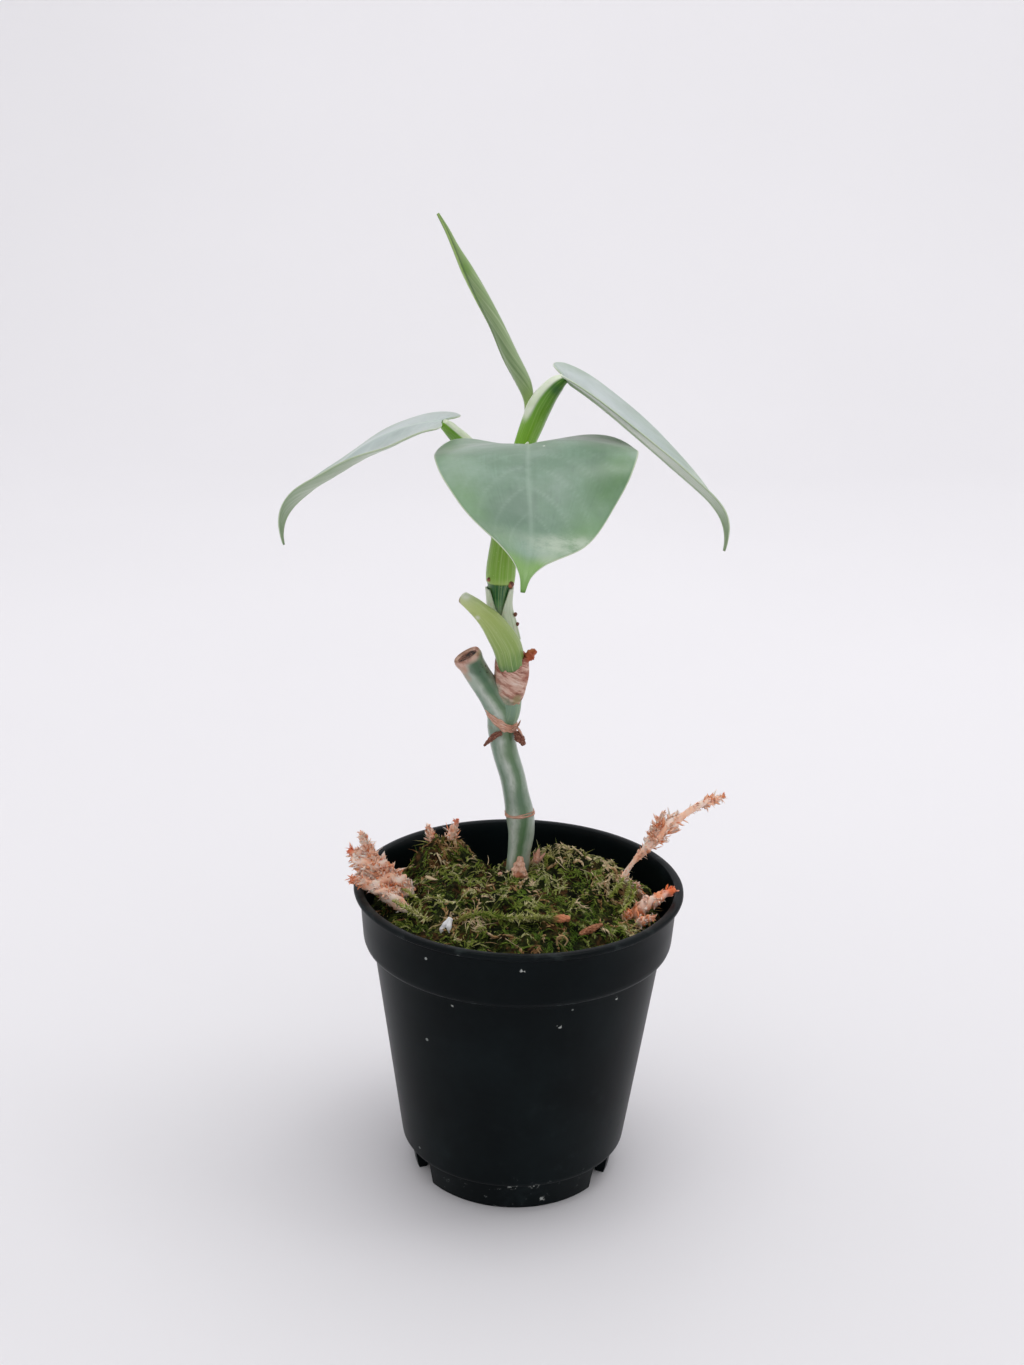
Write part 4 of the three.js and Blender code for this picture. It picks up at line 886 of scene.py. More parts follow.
def leafyStrand(path, leaves, leaf, width, tone, seed):
    # one listed leafy stem: a thin core with small leaves all round it
    random = np.random.default_rng(seed)
    shares, rows = stemTable(path, [1.0] * len(path))
    at = sample(np.sort(random.random(leaves)), shares, rows)
    directions = unit(at[:, 9:12] * 0.7 + random.normal(size=(leaves, 3)) * 0.8 + np.array([0, 0, 0.2]))
    lengths = leaf * (0.6 + 0.6 * random.random(leaves))
    tones = np.clip(tone + random.normal(size=leaves) * 0.1, 0, 1)
    bends = random.normal(size=(leaves, 3)) * 0.25
    return [tubePart(path, [0.55 * width] * len(path), 40, 8, tone=tone - 0.15),
            strandPart(at[:, :3], directions, lengths, np.full(leaves, 0.8 * width), bends, tones, 3, 0.35)]


def insidePot(part):
    # pulls strands in from the pot's wall, and from its lip above it
    verts = part["verts"]
    room = np.where(verts[:, 2] < moss["lip"], moss["wallRoom"], moss["lipRoom"])
    verts[:, :2] *= np.minimum(1, room / np.maximum(np.hypot(verts[:, 0], verts[:, 1]), 1e-6))[:, None]
    return part


def mossLook(name, stops, roughness, marks=()):
    finish = Finish(name, roughness, Specular_IOR_Level=0.15)
    shade = finish.plus(finish.tone, finish.times(finish.part(2), 0.16))
    shade = finish.plus(shade, finish.remap(finish.blotches(140.0, 0.3, 0.7), 0.0, 1.0, -0.1, 0.1))
    finish.colour(finish.spots(finish.steps(shade, 0.0, 1.0, stops), marks))
    return finish.material


def litterAndShadeLook():
    # a near-black sheet under the strands: blotches of brown litter, and painted shade for the depths between
    # the strands
    finish = Finish("mossLitterAndShade", 0.9, Specular_IOR_Level=0.1)
    shade = finish.plus(finish.blotches(330.0, 0.35, 0.75, 0.7), finish.plus(finish.tone, -0.1))
    green = finish.steps(shade, 0.0, 1.0, [
        (0.0, "0d0f06"), (0.35, "232a10"), (0.7, "414a1c"), (1.0, "6f6d34")])
    brown = finish.mix(finish.blotches(500.0, 0.4, 0.6), "23140b", "6b4a2c")
    finish.colour(finish.over(green, finish.blotches(120.0, 0.52, 0.66), brown, 0.75))
    finish.bump(finish.blotches(500.0, 0.2, 0.8, 0.7), 0.6)
    return finish.material


mossGreen = mossLook("mossGreen", [
    (0.0, "0e1106"), (0.14, "1f280c"), (0.32, "3b4d17"), (0.52, "5c7424"), (0.7, "82913a"), (0.86, "aaae5e"),
    (1.0, "d6cf9c")], 0.7, [
    ((13, 12, 103), 3.0, 12.0, "98854c", 0.4), ((-25, 20, 104), 2.0, 9.0, "75602f", 0.5),
    ((-20, -24, 93), 2.0, 9.0, "957a50", 0.5), ((14, -34, 93), 3.0, 13.0, "2f5c16", 0.5),
    ((3, -8, 99), 3.0, 12.0, "648a28", 0.35), ((-34, 8, 92), 3.0, 11.0, "415f1c", 0.4),
    ((33, -4, 95), 2.0, 10.0, "8f9640", 0.4), ((24, -24, 94), 3.0, 10.0, "577a20", 0.45),
    ((20, 2, 100), 2.0, 9.0, "5a8424", 0.4)])
mossBrown = mossLook("mossBrown", [
    (0.0, "1f120a"), (0.25, "4f321e"), (0.5, "84603a"), (0.75, "b38d60"), (1.0, "e0c9a4")], 0.75)
makePiece("mossCore", [mossCorePart()], litterAndShadeLook(), ["moss_bed"])
makePiece("mossStrands", [insidePot(creepingStems(moss["creeping"], 11)),
                          insidePot(mossStrands(moss["green"], 14))], mossGreen, ["moss_bed"])
leafyParts = [part for strand in moss["leafy"] for part in leafyStrand(*strand)]
makePiece("mossTips", [insidePot(creepingStems(moss["bright"], 12)), *leafyParts], mossGreen,
          ["moss_bed"])
makePiece("mossFibres", [
    insidePot(creepingStems(moss["dead"], 15)), insidePot(mossStrands(moss["brown"], 13)),
    insidePot(mossStrands(moss["threads"], 16, 8)),
    tubePart(moss["loop"], [0.26, 0.28, 0.26, 0.28, 0.2], 60, 8, tone=0.7),
    flakePart(moss["flakes"], 0.95)], mossBrown, ["moss_bed"])


def peatLook():
    finish = Finish("peat", 0.95)
    crumb = node(finish.tree, "ShaderNodeTexVoronoi", {"Vector": finish.object, "Scale": 420.0})
    colour = finish.mix(finish.blotches(160.0, 0.35, 0.65), "2a1c12", "4c3523")
    finish.colour(finish.over(colour, finish.specks(500.0, 0.15, 0.4), "8a6a48", 0.7))
    finish.bump(crumb.outputs["Distance"], 0.8)
    return finish.material


peat = peatLook()
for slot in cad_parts["potting_mix"].material_slots:
    slot.material = peat
print("pot filled")

sprays = {
    "Left": {
        "node": "dried_moss_left", "curl": 0.5, "seed": 5, "scales": 2900, "size": (0.8, 2.3),
        "width": (0.28, 0.62), "core": 1.15, "stems": [
            ([[-30, 0, 86], [-35.5, -2, 92.2], [-41, -4, 97.6], [-47, -5, 103], [-52, -5, 107.4]],
             [1.6, 2.4, 2.6, 2.2, 0.8], [0.8, 1.2, 1.55, 1.3, 0.5]),
            ([[-43, -4.5, 100], [-46.8, -5, 108.8], [-48.4, -5, 113.4]], [1.5, 1, 0.6], [1.2, 0.7, 0.4]),
            ([[-25, -16, 85.6], [-33.3, -13, 90.6], [-40.5, -10.5, 95.6], [-46.6, -9.5, 98.6],
              [-51, -10.5, 100]], [1, 1.7, 1.9, 1.6, 0.7], [0.5, 0.6, 0.8, 0.8, 0.6]),
            ([[-36, -3, 93], [-38.5, -8, 94.5], [-40.5, -10.5, 95.6]], [1.7, 1.6, 1.5], [1.0, 0.9, 0.8])]},
    "Back": {
        "node": "dried_moss_back", "curl": 0.5, "seed": 11, "scales": 360, "size": (0.8, 2.0),
        "width": (0.26, 0.56), "core": 0.95, "stems": [
            ([[-25, 21, 92], [-27.6, 22, 98.5], [-29.6, 22.5, 104.6]], [1.3, 1.3, 0.7], [0.7, 0.9, 0.6]),
            ([[-25, 21, 92], [-22.4, 20.5, 100.5], [-20, 20, 108]], [1.3, 1.5, 0.6], [0.7, 1.1, 0.6])]},
    "Right": {
        "node": "dried_moss_right", "curl": 0.5, "seed": 17, "scales": 1250, "size": (0.8, 2.0),
        "width": (0.26, 0.6), "core": 0.8, "stems": [
            ([[29, 1, 88], [31.5, 1.6, 95.5], [33.8, 2, 100], [37, 3, 104.4], [40.9, 4, 108.4],
              [46.4, 6, 113.9], [51.2, 7, 117.1], [57.7, 9, 120.6], [63.2, 11, 121.8]],
             [1.3, 1.3, 1.2, 1.4, 1.6, 1.8, 1.5, 1.2, 0.6], [0.8, 1.2, 0.4, 0.7, 1.4, 1.5, 0.5, 1.3, 0.7]),
            ([[39.6, 3.8, 107.3], [42.1, 5, 112.3], [44.4, 6, 118]], [1.2, 1, 0.5], [0.6, 1.0, 0.5]),
            ([[31.5, 1.6, 95.5], [36, 2.5, 93.5], [39, 4, 90]], [1.4, 1.5, 1.1], [0.9, 0.9, 0.6])]},
    "Tuft": {
        "node": "dried_moss_tuft", "curl": 0.55, "seed": 23, "scales": 340, "size": (0.8, 2.1),
        "width": (0.35, 0.75), "core": 0.95, "stems": [
            ([[33, -10, 84.5], [36.5, -9.5, 91.5], [41.5, -9, 95], [47.6, -8.6, 98.8]], [1.5, 1.8, 1.7, 0.8],
             [0.8, 1.1, 1.0, 0.8]),
            ([[33, -10, 84.5], [37.8, -14.5, 90.5], [41.2, -16.4, 93.0]], [1.5, 1.5, 0.6], [0.7, 0.9, 0.6]),
            ([[33, -10, 84.5], [33.2, -12, 90], [33.4, -13, 93]], [1.5, 1.3, 0.6], [0.7, 0.9, 0.6])]},
}
coat = {"loose": 0.4, "stand": (0.4, 1.1), "inset": 0.85, "core": (0.45, 0.55), "taper": (0.5, 0.8, 1.1, 1.0)}


def stemKnots(turn, share):
    return 1 + 0.22 * np.sin(3 * turn + 25 * share) + 0.16 * np.sin(47 * share + 2 * turn)


def sprayParts(spray):
    # ragged stems in a coat of flat curled scales that point outwards and forwards, bigger where it is bulky
    random = np.random.default_rng(spray["seed"])
    least, more = coat["core"]
    parts, rows, bulks = [], [], []
    for path, radius, bulk in spray["stems"]:
        thin = [spray["core"] * value * (least + more * swell) for value, swell in zip(radius, bulk)]
        parts.append(tubePart(path, thin, 60, 14, stemKnots,
                              lambda turn, share: 0.6 + 0.2 * np.sin(31 * share)))
        shares, sections = stemTable(path, radius)
        rows.append(sections[::4])
        bulks.append(smoothValues(range(len(bulk)), bulk, shares[::4] * (len(bulk) - 1)))
    rows, bulks = np.concatenate(rows), np.concatenate(bulks)
    count = spray["scales"]
    pick = random.choice(len(rows), count, p=bulks / bulks.sum())
    rows, bulks = rows[pick], bulks[pick]
    centres, forwards, radii = rows[:, :3], rows[:, 9:12], rows[:, 12]
    outward = random.normal(size=(count, 3))
    outward = unit(outward - (outward * forwards).sum(-1, keepdims=True) * forwards)
    stand = np.where(random.random((count, 1)) < coat["loose"], coat["stand"][1], coat["stand"][0])
    ahead = forwards * (0.5 + 0.7 * random.random((count, 1)))
    directions = unit(outward * stand + ahead + random.normal(size=(count, 3)) * 0.2)
    roots = centres + outward * (radii * (least + more * bulks))[:, None] * spray["core"] * coat["inset"]
    lengths = between(spray["size"], random.random(count) ** 1.5) * bulks
    widths = between(spray["width"], random.random(count)) * np.clip(bulks, 0.5, 1.1)
    bends = random.normal(size=(count, 3)) * spray["curl"] - outward * 0.15
    clump = np.sin(centres @ np.array([0.9, 1.3, 0.8])) * 0.12
    tones = np.clip(0.5 + clump + random.normal(size=count) * 0.27, 0, 1)
    parts.append(strandPart(roots, directions, lengths, widths, bends, tones, 4, 0.3, coat["taper"]))
    return parts


def driedLook(name, stops, orange, orangeShare, marks):
    finish = Finish(name, 0.8, Specular_IOR_Level=0.2, Subsurface_Weight=0.25,
                    Subsurface_Radius=(0.002, 0.0013, 0.0009))
    shade = finish.plus(finish.tone, finish.remap(finish.blotches(260.0, 0.3, 0.7), 0.0, 1.0, -0.12, 0.14))
    body = finish.steps(shade, 0.0, 1.0, stops)
    rust = finish.blotches(230.0, 0.62 - orangeShare, 0.74 - orangeShare, 0.7)
    body = finish.over(body, rust, orange, finish.remap(finish.part(2), 0.0, 1.0, 0.45, 1.0))
    finish.colour(finish.spots(body, marks))
    return finish.material


driedPale = driedLook("driedMoss", [
    (0.0, "e48c60"), (0.2, "fab48e"), (0.45, "ffccb0"), (0.7, "ffddca"), (1.0, "fff0e6")], "f08858", 0.0, [
    ((-26, -16, 87), 5.0, 12.0, "a3a860", 0.85), ((30.5, 1.3, 90), 5.0, 10.0, "8d8450", 0.8),
    ((-25, 21, 92), 4.0, 9.0, "8a8750", 0.75), ((-30, 0, 86), 3.0, 9.0, "96934f", 0.7),
    ((-52, -5, 107.4), 0.5, 2.6, "dd5f28", 0.85), ((-51, -10.5, 100), 0.5, 3.4, "e8804a", 0.7),
    ((-20, 20, 108), 0.5, 3.2, "d9633a", 0.75)])
driedOrange = driedLook("driedOrange", [
    (0.0, "dc8250"), (0.3, "f49a6c"), (0.55, "ffbb98"), (0.8, "ffdac6"), (1.0, "fff0e6")], "fa7838", 0.03, [
    ((33, -10, 85), 4.0, 8.0, "8f8248", 0.8), ((38.5, -10, 95.5), 0.8, 3.6, "f6d9c8", 0.85),
    ((35.0, -9.5, 95.0), 0.5, 2.6, "eccbb4", 0.7), ((47, -8.6, 98.2), 0.5, 5.0, "f26a2e", 0.75)])
for label, spray in sprays.items():
    makePiece("driedMoss" + label, sprayParts(spray), driedOrange if label == "Tuft" else driedPale,
              [spray["node"]])
print("dead moss ready")

cane = {
    "path": [[-3, 8, 52], [-1.4, 8, 74], [-0.8, 8, 86], [-0.6, 8, 95.5], [-0.1, 8, 102.5], [0.4, 8, 109.5],
             [-0.2, 8, 115.5], [-1.4, 8, 121.5], [-2.7, 8, 127.5], [-5.4, 8, 136.5], [-6.5, 8, 143.2],
             [-6.9, 7.9, 148], [-9.4, 7.4, 153.6], [-13.8, 6.9, 160.6], [-17.5, 6.2, 167.2]],
    "radii": [3.4, 3.6, 3.6, 3.6, 3.6, 4.1, 4.4, 4, 3.9, 3.95, 4.2, 4.2, 4.0, 3.9, 4],
    "buds": [([0.9, 4.6, 112.6], 0.9)],
    "roots": [[[-2.6, 8, 57], [4, 10, 50], [14, 13, 40], [20, 12, 26], [24, 8, 12]],
              [[-2.8, 8, 56], [-9, 6, 48], [-18, 3, 36], [-22, -4, 22], [-18, -12, 10]],
              [[-2.9, 8, 55], [-4, 14, 45], [-6, 22, 33], [-2, 24, 18], [4, 20, 8]],
              [[-2.4, 8, 60], [0, 0, 52], [6, -10, 40], [10, -18, 24], [8, -22, 10]]],
    "rootRadii": [1.5, 1.3, 1.1, 0.9, 0.6],
    "end": (-17.9, 6.1, 167.9),
}


def caneRelief(turn, share):
    # faint flutes, and a torn rim that swells at the cut end
    torn = 0.06 + 0.05 * np.sin(2 * turn + 4) + 0.03 * np.sin(5 * turn + 1)
    rim = np.exp(-((share - 0.988) / 0.014) ** 2) * torn
    return 1 + 0.006 * np.sin(9 * turn + 6 * share) + 0.004 * np.sin(3 * turn - 25 * share) + rim


def caneLook():
    # a painted highlight streak down the front and painted highlights on its edges, over green; worn patches,
    # and the brown cut with its hollow pith
    finish = Finish("caneSkin", 0.34, Coat_Weight=0.5, Coat_Roughness=0.15)
    lines = finish.fibres(4.0, 40.0)
    wander = finish.times(finish.remap(finish.blotches(70.0, 0.2, 0.8), 0.0, 1.0, -0.5, 0.5), 0.3)
    # painted highlight: a pale streak on the front that shifts with height, and painted highlights on both
    # edges; the back keeps plain blotches
    shift = finish.remap(finish.axis("Z"), 0.106, 0.122, 0.5, 0.0)
    front = finish.steps(finish.plus(finish.plus(finish.part(1), wander), shift), -1.2, 1.2, [
        (-1.2, "8c9b88"), (-0.7, "74907a"), (-0.45, "9eb0a0"), (-0.15, "c6cfc4"), (0.05, "b2bfae"),
        (0.3, "688763"), (0.55, "557850"), (0.8, "8ea28d"), (1.2, "a3b0a2")])
    back = finish.mix(finish.blotches(85.0, 0.35, 0.75), "668264", "9aab9a")
    body = finish.mix(finish.remap(finish.part(0), -0.2, 0.25), back, front)
    body = finish.mix(finish.remap(lines, 0.4, 0.7, 0.0, 0.3), body, "4f6f4c")
    scars = finish.times(finish.blotches(150.0, 0.66, 0.72, 0.7), 0.7)
    body = finish.mix(scars, body, "8d7f66")
    body = finish.spots(body, [
        ((-1.2, 5, 121.0), 1.0, 6.0, "55755a", 0.5), ((-6.0, 4, 144), 1.0, 4.0, "4f6a3c", 0.6),
        ((-0.6, 8, 94.0), 4.0, 8.0, "6f7a4c", 0.5), ((-3.5, 4.5, 137), 1.5, 5.0, "5c7d50", 0.5),
        ((-14.4, 3.0, 164.0), 1.4, 3.4, "2f5a3a", 0.75), ((-12.4, 3.6, 161.4), 1.4, 3.4, "3a6644", 0.7),
        ((-10.2, 4.0, 157.4), 0.8, 3.0, "44704c", 0.6), ((-16.0, 3.4, 158.6), 1.5, 4.5, "a9b8a6", 0.6),
        ((-19.0, 4.0, 163.6), 1.6, 3.4, "c99a82", 0.85), ((-17.2, 3.6, 160.4), 0.4, 2.2, "b88f76", 0.6)])
    mould = finish.times(finish.near((-11.2, 4.5, 163.2), 1.6, 3.2), finish.specks(1500.0, 0.55, 0.5))
    body = finish.mix(mould, body, "27211d")
    callus = finish.mix(finish.blotches(300.0, 0.4, 0.6), "e0b9a9", "b07f6c")
    body = finish.mix(finish.near(cane["end"], 4.3, 5.2), body, callus)
    pith = finish.mix(finish.blotches(700.0, 0.42, 0.56, 0.7), "93604f", "1e0b08")
    finish.colour(finish.mix(finish.near(cane["end"], 3.3, 3.7), body, pith))
    cut = finish.near(cane["end"], 3.6, 5.0)
    finish.shine(finish.remap(finish.plus(scars, cut), 0.0, 0.7, 0.34, 0.8))
    finish.feed("Coat Weight", finish.remap(cut, 0.0, 1.0, 0.5, 0.0))
    finish.bump(finish.plus(lines, finish.blotches(500.0, 0.3, 0.7)), 0.08, 0.5)
    return finish.material


caneParts = [tubePart(cane["path"], cane["radii"], 220, 60, caneRelief, domes=(0.25, -0.22))]
caneParts += [blobPart(centre, radius, 0.5, (0.5, 0.8, 1.5)) for centre, radius in cane["buds"]]
caneParts += [tubePart(path, cane["rootRadii"], 60, 12,
                       lambda turn, share: 1 + 0.1 * np.sin(30 * share + 2 * turn))
              for path in cane["roots"]]
makePiece("caneStem", caneParts, caneLook(), ["cane"])


def barkLook(name, pale, mid, dark, patchShare=0.5, lines=(7.0, 9.0), marks=()):
    finish = Finish(name, 0.7)
    streaks = finish.fibres(*lines)
    body = ramp(finish.tree, streaks, [(0.3, dark), (0.47, mid), (0.68, pale)])
    body = finish.over(body, finish.blotches(240.0, patchShare, patchShare + 0.16), dark, 0.7)
    finish.colour(finish.spots(body, marks))
    finish.bump(finish.plus(streaks, finish.blotches(420.0, 0.3, 0.7)), 0.3)
    return finish.material


barkPaper = barkLook("barkPaper", "f0cdbb", "dba287", "a8664c", 0.64, (2.0, 14.0))
budLook = barkLook("budScale", "f3d2c0", "dfa98c", "a0664c", 0.6, marks=[
    ((0.1, 0.8, 97.4), 0.9, 1.7, "b5673f", 0.8), ((-0.3, 0.7, 96.6), 0.1, 0.8, "6e3a24", 0.8),
    ((0.5, 0.8, 96.4), 0.1, 0.7, "a8a03c", 0.8)])
chipBark = barkLook("chipBark", "d9a27e", "a8653f", "5e2f1e", 0.58)
brownTissue = barkLook("brownTissue", "c08a72", "7a4433", "3a1a14", 0.55)
twigBark = barkLook("twigBark", "8a8a3e", "5f6428", "30330f",
                    marks=[((14.2, -26.2, 96.6), 1.6, 4.6, "d98a62", 1.0)])


def ragged(level, size, first, second):
    # an edge that wanders round a stem: the level plus two waves
    return lambda turn: level + size * (0.6 * np.sin(first * turn + 0.7) + 0.4 * np.sin(second * turn + 2.1))


def wrinkles(amount, first, second, climbing):
    return lambda turn, climb: (1 + amount * np.sin(first * turn + climbing * climb)
                                + 0.6 * amount * np.sin(second * turn - 1.7 * climbing * climb + 1.1))


def collarSlide(turn):
    # high on the left, low at the front right
    return -0.55 * np.cos(2 * turn) - 3.45 * np.sin(turn)


makePiece("caneRing", [
    strandRing(cane, 0.431, 0.14, 0.2, 0.32, lambda turn: 0.15 * np.cos(2 * turn) - 0.3 * np.sin(turn)),
    strandRing(cane, 0.439, 0.1, 0.15, 0.18, lambda turn: 0.2 * np.sin(3 * turn) - 0.3 * np.sin(turn)),
], barkPaper, ["cane_ring"])
makePiece("caneCollar", [
    strandRing(cane, 0.764, 0.12, 0.34, 1.5, collarSlide),
    strandRing(cane, 0.752, 0.26, 0.3, 0.5, lambda turn: collarSlide(turn) * 0.8 + 0.25 * np.sin(4 * turn)),
    strandRing(cane, 0.777, 0.22, 0.3, 0.5, lambda turn: collarSlide(turn) * 1.08 + 0.2 * np.cos(3 * turn)),
    flakePart([((-1.6, 4.4, 145.4), (-0.6, 4.2, 147.6), 0.7, 0.2),
               ((-1.8, 4.2, 145.2), (0.2, 3.4, 142.4), 0.6, -0.2),
               ((-3.6, 3.4, 144.4), (-1.0, 3.4, 146.4), 0.7, 0.2)])], barkPaper, ["cane_collar"])

scraps = {
    "budScale": ("bud_scale", "bark", budLook, [[0.1, 3.6, 94.4], [0.1, 2.9, 97.4], [0.2, 3.7, 102.0]],
                 [1.7, 2.4, 0.9]),
    "rootStub": ("root_stub", "brown_bark", brownTissue,
                 [[-6.6, 3.6, 143.4], [-9, 3.0, 142.2], [-11.4, 2.6, 139.6]], [0.7, 0.85, 0.35]),
    "nodeNub": ("node_nub", "brown_bark", brownTissue,
                [[-1.8, 5.4, 142.8], [-0.9, 4.6, 141.6], [0.3, 4.2, 140.0]], [1.0, 1.35, 0.75]),
    "mossTwig": ("moss_twig", "bark", twigBark,
                 [[1.6, -26, 95.4], [8, -26.4, 96.2], [12.6, -26.3, 96.4], [14.8, -26.2, 96.4]],
                 [0.8, 0.7, 1.15, 0.8]),
    "barkChip": ("bark_chip", "brown_bark", chipBark,
                 [[18.6, -27.8, 92.2], [21.4, -27, 93.4], [24.8, -26.4, 94.8]], [0.6, 1.05, 0.5]),
}


def scrapRelief(turn, share):
    # rounded ridges that wind round the scrap, and fine rings
    return (1 + 0.14 * np.sin(3 * turn + 9 * share) + 0.1 * np.sin(7 * turn - 21 * share)
            + 0.07 * np.sin(40 * share))


for label, (nodeName, slotName, look, path, radii) in scraps.items():
    makePiece(label, [tubePart(path, radii, 50, 28, scrapRelief, domes=(0.5, 0.9))], look,
              [nodeName])

flange = {
    "path": [[-1.0, 3.0, 95.4], [-3.6, 2.8, 95.2], [-5.8, 2.8, 97.0], [-6.6, 2.6, 94.2]],
    "radii": [0.5, 0.7, 0.8, 0.4],
    "flakes": [((4.8, 5.4, 100.2), (6.2, 5.0, 105.4), 1.8, 0.2),
               ((5.8, 5.4, 100.6), (8.2, 5.2, 103.8), 1.3, 0.2),
               ((5.0, 5.4, 100.4), (4.4, 4.8, 104.4), 0.9, 0.2)],
}
makePiece("budFlange", [
    flakePart(flange["flakes"]),
    tubePart(flange["path"], flange["radii"], 40, 16,
             lambda turn, share: 1 + 0.2 * np.sin(2 * turn + 12 * share)),
], barkPaper, ["bud_scale"])

fleck = {"path": [[-21.8, -28.4, 90.2], [-21.2, -28.7, 93.2], [-19.8, -27.8, 96.2]], "radii": [1.0, 1.6, 0.8]}


def fleckRelief(turn, share):
    # squeezed flat, with a slow twist
    return 0.25 + 0.8 * np.abs(np.cos(turn - 1.5 + 0.8 * share)) + 0.06 * np.sin(20 * share)


def fleckLook():
    finish = Finish("fleckPaper", 0.7)
    finish.colour(finish.mix(finish.blotches(420.0, 0.42, 0.62), "ffffff", "d6d5da"))
    return finish.material


makePiece("whiteFleck", [tubePart(fleck["path"], fleck["radii"], 30, 28, fleckRelief)], fleckLook(),
          ["white_fleck"])

papery = {"path": [[-4.6, 8.4, 152.4], [-4.2, 8, 156.4], [-3.8, 7.8, 162], [-3.7, 7.7, 167.4]],
          "radii": [3.9, 4.7, 5.2, 5], "innerRadii": [3.12, 3.76, 4.16, 4.0],
          "curl": [[0.4, 7, 165.0], [1.5, 6.8, 167.2], [3.2, 6.6, 168.8]], "curlRadii": [0.7, 1.5, 0.8]}


def paperyLook():
    # slanting folds in pale brown, redder and darker towards the upper edge
    finish = Finish("paperySheath", 0.65)
    x, y, z = separate(finish.tree, finish.object)
    slanted = combine(finish.tree, finish.times(x, 0.25), finish.times(y, 0.25),
                      finish.plus(z, finish.times(x, 0.45)))
    folds = noise(finish.tree, slanted, 620.0, 4.0, 0.65)
    body = ramp(finish.tree, folds, [(0.32, "7d4534"), (0.45, "b98573"), (0.56, "dcb5a3"), (0.7, "f0d9cd")])
    rust = finish.remap(finish.plus(z, finish.times(finish.blotches(90.0, 0.3, 0.7), 0.004)), 0.1625, 0.1665)
    red = ramp(finish.tree, folds, [(0.35, "5e2a1d"), (0.5, "97533f"), (0.62, "e2b5a4")])
    body = finish.over(body, rust, red, 0.9)
    body = finish.over(body, finish.blotches(300.0, 0.62, 0.7), "6a3426", 0.7)
    finish.colour(finish.spots(body, [
        ((2.4, 6.6, 168.0), 2.2, 4.0, "b4552e", 0.9), ((1.8, 6.4, 169.4), 0.2, 1.4, "de8a5a", 0.7),
        ((0.8, 6.0, 161.0), 0.5, 2.6, "a3553c", 0.6), ((-1.6, 4.4, 153.6), 0.8, 2.6, "9c9468", 0.8),
        ((-5.6, 4.4, 152.4), 1.2, 3.6, "92a68c", 0.7), ((-7.8, 5.4, 157.0), 0.8, 2.6, "a3b39c", 0.5)]))
    finish.bump(folds, 0.5)
    return finish.material


makePiece("paperySheath", [
    sleevePart(papery["path"], papery["radii"], 50, 110, 0.7, ragged(0.95, 0.06, 2, 5),
               wrinkles(0.03, 8, 13, 5)),
    tubePart(papery["path"], papery["innerRadii"], 40, 48),
    tubePart(papery["curl"], papery["curlRadii"], 30, 24,
             lambda turn, share: 1 + 0.18 * np.sin(3 * turn + 8 * share) + 0.1 * np.sin(30 * share)),
], paperyLook(), ["papery_sheath"])
print("cane ready")

shoot = {
    "path": [[-6.6, 8, 143.6], [-5.2, 8.2, 148.2], [-4.4, 8.6, 152.4], [-4.1, 9, 156.5], [-4.1, 9, 164.5],
             [-5.8, 10, 172.5], [-7.8, 10.4, 180.5], [-8, 10.5, 186], [-7.8, 10.6, 189.5], [-7.5, 11, 195.5],
             [-6.4, 11.8, 205], [-4.6, 12.9, 214.5], [-3.7, 13.4, 219]],
    "radii": [3.4, 4.1, 3.9, 3.5, 3.2, 3.3, 2.9, 3.3, 4.1, 4.2, 3.7, 2.6, 1.7],
    "nubs": [([-11.2, 7.8, 190.2], 0.6), ([-4.6, 7.6, 188.8], 0.95), ([-3.1, 9, 179.3], 0.6),
             ([-2.4, 9, 176.3], 0.55)],
}


def greenLook(name, stops, speckle, roughness=0.36, strength=0.35, around=8.0, along=2.0):
    # green by height, with fine lines and specks of another colour; gives the finish and its colour so far
    finish = Finish(name, roughness, Subsurface_Weight=0.06, Subsurface_Radius=(0.002, 0.003, 0.001),
                    Coat_Weight=0.15, Coat_Roughness=0.25)
    lines = finish.fibres(around, along)
    body = finish.mix(finish.remap(lines, 0.42, 0.68, 0.0, strength), finish.heights(stops), speckle)
    body = finish.over(body, finish.specks(1300.0, 0.3, 0.3), speckle, 0.25)
    finish.bump(finish.plus(lines, finish.times(finish.blotches(600.0, 0.3, 0.7), 0.6)), 0.08, 0.5)
    return finish, body


def shootLook():
    # the green just above the node is a little darker: painted shade from the blades above
    finish, body = greenLook("shootSkin", [
        (147, "6c8a70"), (153, "7f9c86"), (158, "98ad98"), (170, "8aa67c"), (174, "2c6334"), (177, "9fb48e"),
        (180, "a9baa0"), (182.5, "5f8f60"), (184.5, "1f6230"), (188.6, "1c5a2a"), (189.1, "9cbb58"),
        (191, "7daa30"), (197, "74a01c"), (219, "6ea31c")], "b9cf86")
    body = finish.spots(body, [((-3.0, 9.0, 174.6), 1.2, 2.8, "1f5c2e", 0.9)])
    nubs = finish.mix(finish.blotches(900.0, 0.4, 0.6), "a8664a", "6b3526")
    finish.colour(finish.mix(finish.remap(finish.tone, 0.3, 0.7), body, nubs))
    return finish.material


def shootRelief(turn, share):
    # fine flutes, and a step where the upper leaf base ends over the thinner stem below
    step = fade(share, 0.645, 0.651) - fade(share, 0.68, 0.79)
    return 1 + 0.006 * np.sin(11 * turn) + 0.06 * step


shootParts = [tubePart(shoot["path"], shoot["radii"], 240, 56, shootRelief)]
shootParts += [blobPart(centre, radius, 1.0, (1, 0.8, 1.1)) for centre, radius in shoot["nubs"]]
makePiece("shootStem", shootParts, shootLook(), ["shoot"])

